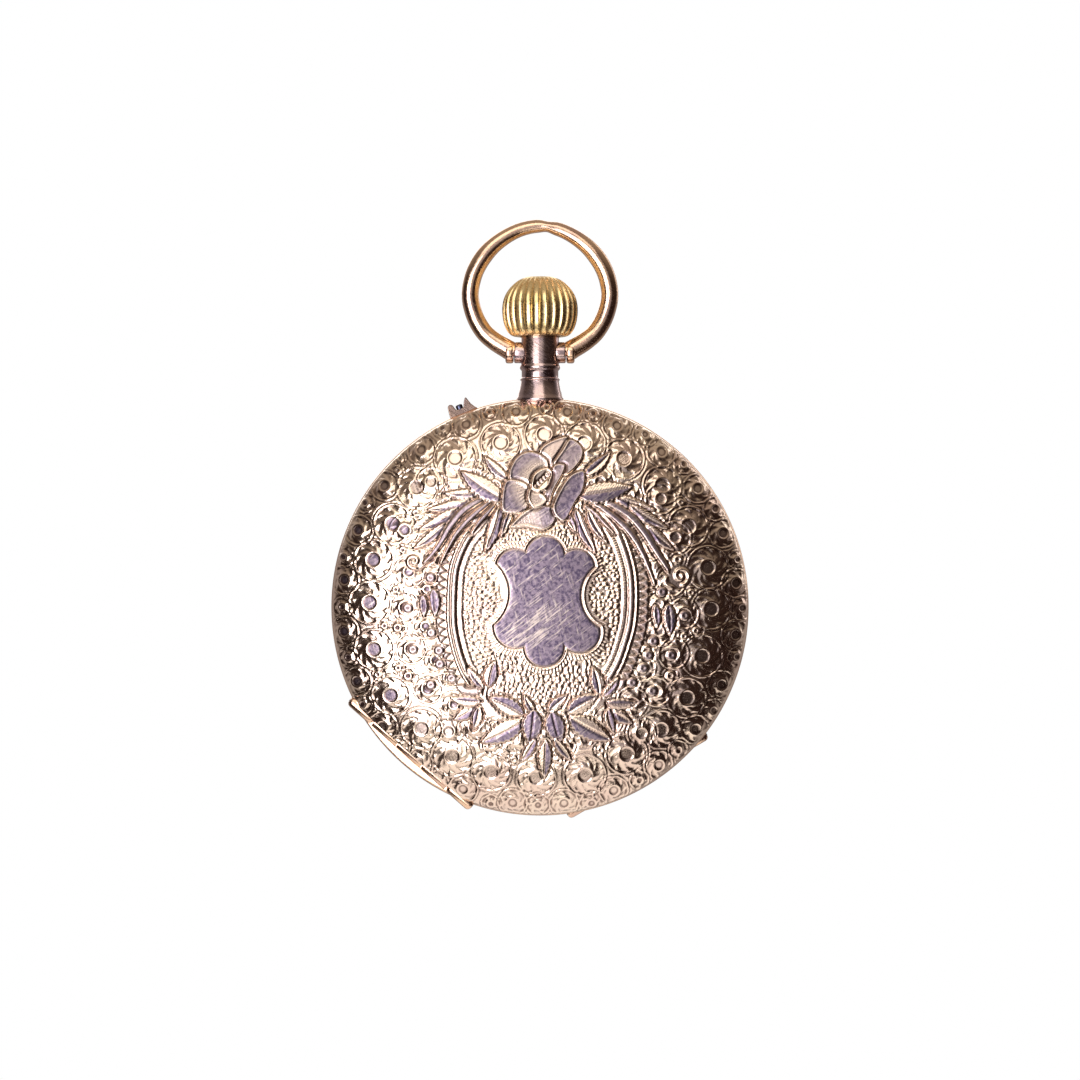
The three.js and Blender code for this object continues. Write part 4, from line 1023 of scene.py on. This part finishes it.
def bow():
    """The round bow, thinned at its top where a chain wore it, with eyes against the pendant's bosses."""
    path = curve([*HALF_BOW, (0, 45.68), *[(-x, y) for x, y in reversed(HALF_BOW)]], 10)
    steps = len(path)
    radii = []
    for i, (x, y) in enumerate(path):
        s = abs(2 * i / (steps - 1) - 1)
        radius = 0.8 + 0.24 * min(1.0, s / 0.32)**1.6 if s < 0.5 else 1.04 + 0.18 * ((s - 0.5) / 0.5)**2
        wear = hump(x - 0.9, 0.7) if y > 40 else 0.0
        radii.append((radius - 0.16 * wear, radius + 0.04 * wear))
    shells = [sweep(path, radii, 32), *side_pins(0.44, 2.3, 3.6, 0.06, 20),
              *side_pins(1.3, 3.16, 4.15, 0.28, 40)]
    piece("bow_wire", shells, "bow", SMOOTH_GOLD, ["bow"], sharp=50)


bow()


def crown():
    """The onion crown: hollow flutes between narrow ridges, closed by a small plain button."""
    line = curve([(2.75, 0.0), (3.35, 0.12), (3.9, 0.62), (4.32, 1.5), (4.53, 2.6), (4.53, 3.7), (4.3, 4.7),
                  (3.8, 5.6), (3.1, 6.35), (2.4, 6.85), (1.9, 7.05)], 4)
    flutes, per_flute, flute_depth = 30, 10, 0.24
    steps = np.arange(flutes * per_flute)
    hollow = 1 - np.abs(2 * (steps % per_flute) / per_flute - 1)**3
    angles = np.radians(90 - 360 * steps / len(steps))

    def level(height, radii):
        return ring(radii, CROWN_Y + height, angles)[:, [0, 2, 1]]
    bore = [level(1.75, 2.44), level(0.0, 2.44)]
    onion = [level(h, r - flute_depth * math.sin(math.pi * (i + 0.5) / (len(line) - 1))**0.5 * hollow)
             if i < len(line) - 1 else level(h, r) for i, (r, h) in enumerate(line)]
    button = [level(7.08, 1.86), level(7.12, 1.75), level(7.13, 1.55), level(7.16, 0.9)]
    shell = closed_rings([*bore, *onion, *button], (0, CROWN_Y + 1.75, 0), (0, CROWN_Y + 7.17, 0))
    piece("crown_onion", [shell], "crown", CROWN_GOLD, ["crown"], sharp=60)


crown()


def push_piece():
    """The pin-set guard: two ears with a saddle between them, and the blued pin in the saddle."""
    outline = [(24.9, -2.0), (25.25, -1.72), (25.7, -1.45), (26.2, -1.3), (26.62, -1.18), (26.6, -1.02),
               (26.3, -0.8), (25.95, -0.6), (25.6, -0.46), (25.55, 0.0), (25.6, 0.46), (25.9, 0.56),
               (26.25, 0.64), (26.45, 0.8), (26.5, 1.05), (26.38, 1.26), (26.1, 1.36), (25.4, 1.46),
               (24.9, 1.5)]
    guard = extrude(outline, -0.85, 0.85)
    piece("push_guard", [moved(guard, turn=GUARD)], "case", GUARD_GOLD, ["set_pin_guard"],
          bevel=0.14)
    pin = moved(along_x(rounded(0.42, 22.4, 26.15, 0.16, 32)), turn=GUARD)
    piece("push_pin", [pin], "set_pin", PUSH_STEEL, ["set_pin"])


push_piece()


# ---------------------------------------------------------------- glass, dial and hands
def bezel_and_crystal():
    """The glass's ring, and the domed glass held in it."""
    bezel = lathe([(21.1, 2.0), (22.44, 2.0), (22.5, 2.06), (22.47, 2.4), (22.36, 2.66), (22.14, 2.83),
                   (21.95, 2.85), (21.78, 2.8), (21.75, 2.35), (21.1, 2.35)], 192)
    piece("glass_bezel_ring", [bezel], "case", SMOOTH_GOLD, ["glass_bezel"], sharp=40)
    steps = [0, 0.12, 0.25, 0.38, 0.5, 0.62, 0.73, 0.82, 0.9, 0.96, 1]
    outer = [(f * 21.6, 2.95 + 2.6 * (1 - f**2.4)) for f in steps]
    inner = [(f * 20.6, 2.7 + 2.0 * (1 - f**2.4)) for f in reversed(steps)]
    glass = lathe([*outer, (21.6, 2.42), (21.0, 2.42), *inner], 160)
    piece("watch_glass", [glass], "case", GLASS, ["crystal"], sharp=40)


bezel_and_crystal()


def dial_strokes(text, height, width):
    """Roman numeral strokes, as quadrilaterals centred on the origin and reading upwards along y."""
    thick, thin, serif = 0.16 * width, 0.06 * width, 0.07
    letters = {"I": (0.5, [(0, 0, thick)]), "V": (0.95, [(-0.3, 0, thick), (0.3, 0, thin)]),
               "X": (1.0, [(-0.3, 0.3, thick), (0.3, -0.3, thin)])}
    top, end = height / 2, sum(letters[c][0] for c in text) * width / 2
    x = -end
    quads = []
    for c in text:
        share, strokes = letters[c]
        span = share * width
        for high, low, half in strokes:
            a, b = (x + span * (0.5 + lean) for lean in (high, low))
            quads.append([(a - half, top), (a + half, top), (b + half, -top), (b - half, -top)])
        x += span
    for y in (top, -top):
        quads.append([(-end, y - serif), (end, y - serif), (end, y + serif), (-end, y + serif)])
    return quads


def painted(quads, x, y, degrees):
    """Raised strokes of paint on the dial, turned and then moved to a place on it."""
    strokes = [moved(extrude(quad, PAINT_LOW, PAINT_HIGH), turn=degrees) for quad in quads]
    return [moved(stroke, x, y) for stroke in strokes]


def ring_line(x, radius, width):
    low, high = radius - width / 2, radius + width / 2
    ring = lathe([(low, PAINT_LOW), (high, PAINT_LOW), (high, PAINT_HIGH), (low, PAINT_HIGH)], 128)
    return moved(ring, x)


def tick(x, degrees, inner, outer, width):
    quad = [(-width / 2, inner), (width / 2, inner), (width / 2, outer), (-width / 2, outer)]
    return painted([quad], x, 0, degrees - 90)


def dial():
    """A white enamel dial: hours round it with twelve to the left, a seconds dial at six, to the right."""
    body = lathe([(1.3, 1.6), (21.62, 1.6), (21.7, 1.66), (21.7, 1.84), (21.6, DIAL_TOP), (1.42, DIAL_TOP),
                  (1.3, 1.84)], 160)
    piece("dial_enamel", [body], "case", ENAMEL, ["dial"], sharp=40)
    hours = ["XII", "I", "II", "III", "IV", "V", None, "VII", "VIII", "IX", "X", "XI"]
    shells = []
    for i, text in enumerate(hours):
        if text:
            direction = 180 - 30 * i
            x, y = polar(15.6, direction)
            shells += painted(dial_strokes(text, 4.2, 1.5), x, y, direction - 90)
    shells += [ring_line(0, 20.6, 0.1), ring_line(0, 19.7, 0.1)]
    for minute in range(60):
        shells += tick(0, 6 * minute, 19.72, 20.58, 0.26 if minute % 5 == 0 else 0.1)
    shells += [ring_line(SECONDS_X, r, 0.08) for r in (5.2, 4.7)]
    for second in range(60):
        inner = 4.3 if second % 5 == 0 else 4.72
        shells += tick(SECONDS_X, 6 * second, inner, 5.18, 0.12 if second % 5 == 0 else 0.07)
    piece("dial_paint", shells, "case", PAINT, (), sharp=40)


dial()


def hand(name, node, body, reach, tail, hub, z, degrees, belly, width):
    """A blued spade hand with softened edges, drawn along x and turned to its place."""
    bulb = [polar(width, a) for a in range(100, -1, -20)]
    spot = belly * reach
    top = [(tail, 0.2), (spot - width * 1.5, 0.24), *[(spot + a * 1.15, abs(b)) for a, b in bulb if b > 0.2],
           (spot + width * 1.9, 0.3), (reach, 0.05)]
    outline = [polar(hub, a) for a in range(30, 331, 15)]
    outline += [(a, -b) for a, b in top] + [(a, b) for a, b in reversed(top)]
    piece(name, [moved(extrude(outline, *z), turn=degrees)], body, BLUED, [node], bevel=0.05)


hand("hour_spade", "hour_hand", "hour", 11.2, 1.9, 1.75, (2.58, 2.76), 135, 0.66, 1.05)
hand("minute_spade", "minute_hand", "centre", 17.2, 1.5, 1.3, (3.06, 3.22), 60, 0.74, 0.8)


def to_watch(corner):
    """A row-frame point, in metres, as a point in the watch's frame, in mm."""
    return np.array([(corner[0] - CENTRE[0]) / MM, (corner[2] - CENTRE[1]) / MM, -corner[1] / MM])


def slotted_screw(node, body, head, degrees):
    """A blued screw driven from the back: a plain shank, and a chamfered head cut by a slot."""
    low, high = (to_watch(corner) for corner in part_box(node))
    x, y = (low[:2] + high[:2]) / 2
    radius = abs(high[0] - low[0]) / 2
    back, front = min(low[2], high[2]), max(low[2], high[2])
    slot_floor, slot_half, chamfer = back + 0.6 * head, 0.14, 0.07
    profile = [(radius, back + head), (radius, slot_floor), (0, slot_floor)]
    if front > back + head + 0.05:
        profile = [(0, front), (0.42 * radius, front), (0.42 * radius, back + head), *profile]
    else:
        profile = [(0, back + head), *profile]
    shells = [moved(lathe(profile, 40), x, y)]
    edge = math.degrees(math.asin(slot_half / radius))
    rows = [(radius, slot_floor + 0.005), (radius, back + chamfer), (radius - chamfer, back)]
    for side in (0, 180):
        arc = np.linspace(side + edge, side + 180 - edge, 20)
        half = [(*polar(reach, a), z) for reach, z in rows for a in arc]
        shells.append(stack(spin(half, degrees) + np.array([x, y, 0]), len(arc)))
    piece(node + "_slotted", shells, body, BLUED, [node], sharp=40)


for node, body, head, degrees in (
    ("barrel_bridge_screw_a", "case", 0.35, 20), ("barrel_bridge_screw_b", "case", 0.35, 75),
    ("train_bridge_screw_a", "case", 0.35, 130), ("train_bridge_screw_b", "case", 0.35, 50),
    ("balance_cock_screw", "case", 0.35, 160), ("pallet_cock_screw", "case", 0.26, 110),
    ("ratchet_screw", "ratchet", 0.27, 35), ("crown_wheel_core", "case", 0.27, 95),
    ("click_screw", "case", 0.24, 10),
):
    slotted_screw(node, body, head, degrees)


# ---------------------------------------------------------------- the frame's own nodes
BY_MATERIAL = {
    "steel": STEEL, "blued_steel": BLUED, "brass": BRASS, "gilt_plate": GILT, "case_gold": SMOOTH_GOLD,
    "crown_gold": CROWN_GOLD, "enamel": ENAMEL, "glass": GLASS,
}
for entry in frame["record"]["subparts"]:
    for socket in frame["nodes"][entry["node"]].material_slots:
        socket.link = "OBJECT"
        socket.material = BY_MATERIAL[entry["material_slot"]]


# ---------------------------------------------------------------- floor, light and camera
def floor():
    """A pale disc that glows a little, so that the hanging watch throws no hard shadow on it."""
    material, tree, shader = clouded("pale_floor", 0.004, 2.0, 0.3, 0.7, (0.9, 0.9, 0.9),
                                     (0.88, 0.88, 0.88), Emission_Strength=0.5, Roughness=0.8)
    put(tree, shader, Emission_Color=shader.inputs["Base Color"].links[0].from_socket)
    drop, radius, sides = 0.13, 0.14, 72
    low = FRAME_BOUNDS[0][2] - drop
    mesh = bpy.data.meshes.new("floor")
    corners = [(*polar(radius, 360 * k / sides), low) for k in range(sides)]
    mesh.from_pydata(corners, [], [tuple(range(sides))])
    mesh.materials.append(material)
    obj = bpy.data.objects.new("floor", mesh)
    bpy.context.scene.collection.objects.link(obj)


def softbox(name, azimuth, elevation, distance, wide, tall, radiance, tint):
    """An area light aimed at the case. Azimuth 0 is in front of the watch and grows to its right."""
    light = bpy.data.lights.new(name, "AREA")
    light.shape, light.size, light.size_y = "RECTANGLE", wide, tall
    light.energy, light.color = radiance * math.pi * wide * tall, tint
    a, e = math.radians(azimuth), math.radians(elevation)
    way = Vector((math.sin(a) * math.cos(e), -math.cos(a) * math.cos(e), math.sin(e)))
    obj = bpy.data.objects.new(name, light)
    obj.location = Vector((CENTRE[0], 0, CENTRE[1])) + way * distance
    obj.rotation_mode = "QUATERNION"
    obj.rotation_quaternion = way.to_track_quat("Z", "Y")
    bpy.context.scene.collection.objects.link(obj)


def sky():
    """A white room to the camera; to the metal a dim one, lit in front and warm overhead."""
    world = bpy.data.worlds.new("studio")
    bpy.context.scene.world = world
    world.use_nodes = True
    tree = world.node_tree
    tree.nodes.clear()
    outward_ray = tree.nodes.new("ShaderNodeTexCoord").outputs["Generated"]
    way = add(tree, "ShaderNodeSeparateXYZ", Vector=outward_ray).outputs
    front = ramp(tree, way["Y"], -0.88, -0.96)
    above = ramp(tree, way["Z"], 0.25, 0.9)
    behind = ramp(tree, way["Y"], 0.1, 0.5)
    tone = mix(tree, front, (0.025, 0.013, 0.01), (0.42, 0.395, 0.42))
    tone = mix(tree, behind, tone, (0.34, 0.3, 0.28))
    tone = mix(tree, above, tone, (0.42, 0.35, 0.28))
    seen = add(tree, "ShaderNodeBackground", Color=(1, 1, 1), Strength=1.0)
    dim = add(tree, "ShaderNodeBackground", Color=tone)
    camera_ray = tree.nodes.new("ShaderNodeLightPath").outputs["Is Camera Ray"]
    blend = tree.nodes.new("ShaderNodeMixShader")
    fill(tree, blend.inputs, (camera_ray, dim.outputs[0], seen.outputs[0]))
    add(tree, "ShaderNodeOutputWorld", Surface=blend.outputs[0])


def studio():
    sky()
    softbox("key", -25, -4, 0.5, 0.31, 0.4, 5.6, (1.0, 0.96, 0.97))
    softbox("top", -8, 40, 0.5, 0.42, 0.26, 1.9, (1.0, 0.94, 0.84))
    softbox("low", -5, -31, 0.45, 0.34, 0.13, 1.4, (1.0, 0.95, 0.88))
    softbox("rim", 130, 25, 0.6, 0.12, 0.5, 1.4, (1.0, 0.95, 0.9))
    softbox("back", 185, 25, 0.6, 0.5, 0.4, 1.6, (1.0, 0.97, 0.93))


def camera():
    data = bpy.data.cameras.new("camera")
    data.lens, data.sensor_width = 100.0, 36.0
    data.clip_start, data.clip_end = 0.01, 20.0
    obj = bpy.data.objects.new("camera", data)
    frame_width, above = 0.12965, 0.00801
    distance = frame_width * data.lens / data.sensor_width
    obj.location = (CENTRE[0], -distance, CENTRE[1] + above)
    obj.rotation_euler = (math.radians(90), 0, 0)
    bpy.context.scene.collection.objects.link(obj)
    bpy.context.scene.camera = obj


floor()
studio()
camera()
bpy.context.scene.view_settings.view_transform = "Standard"

bpy.context.view_layer.update()
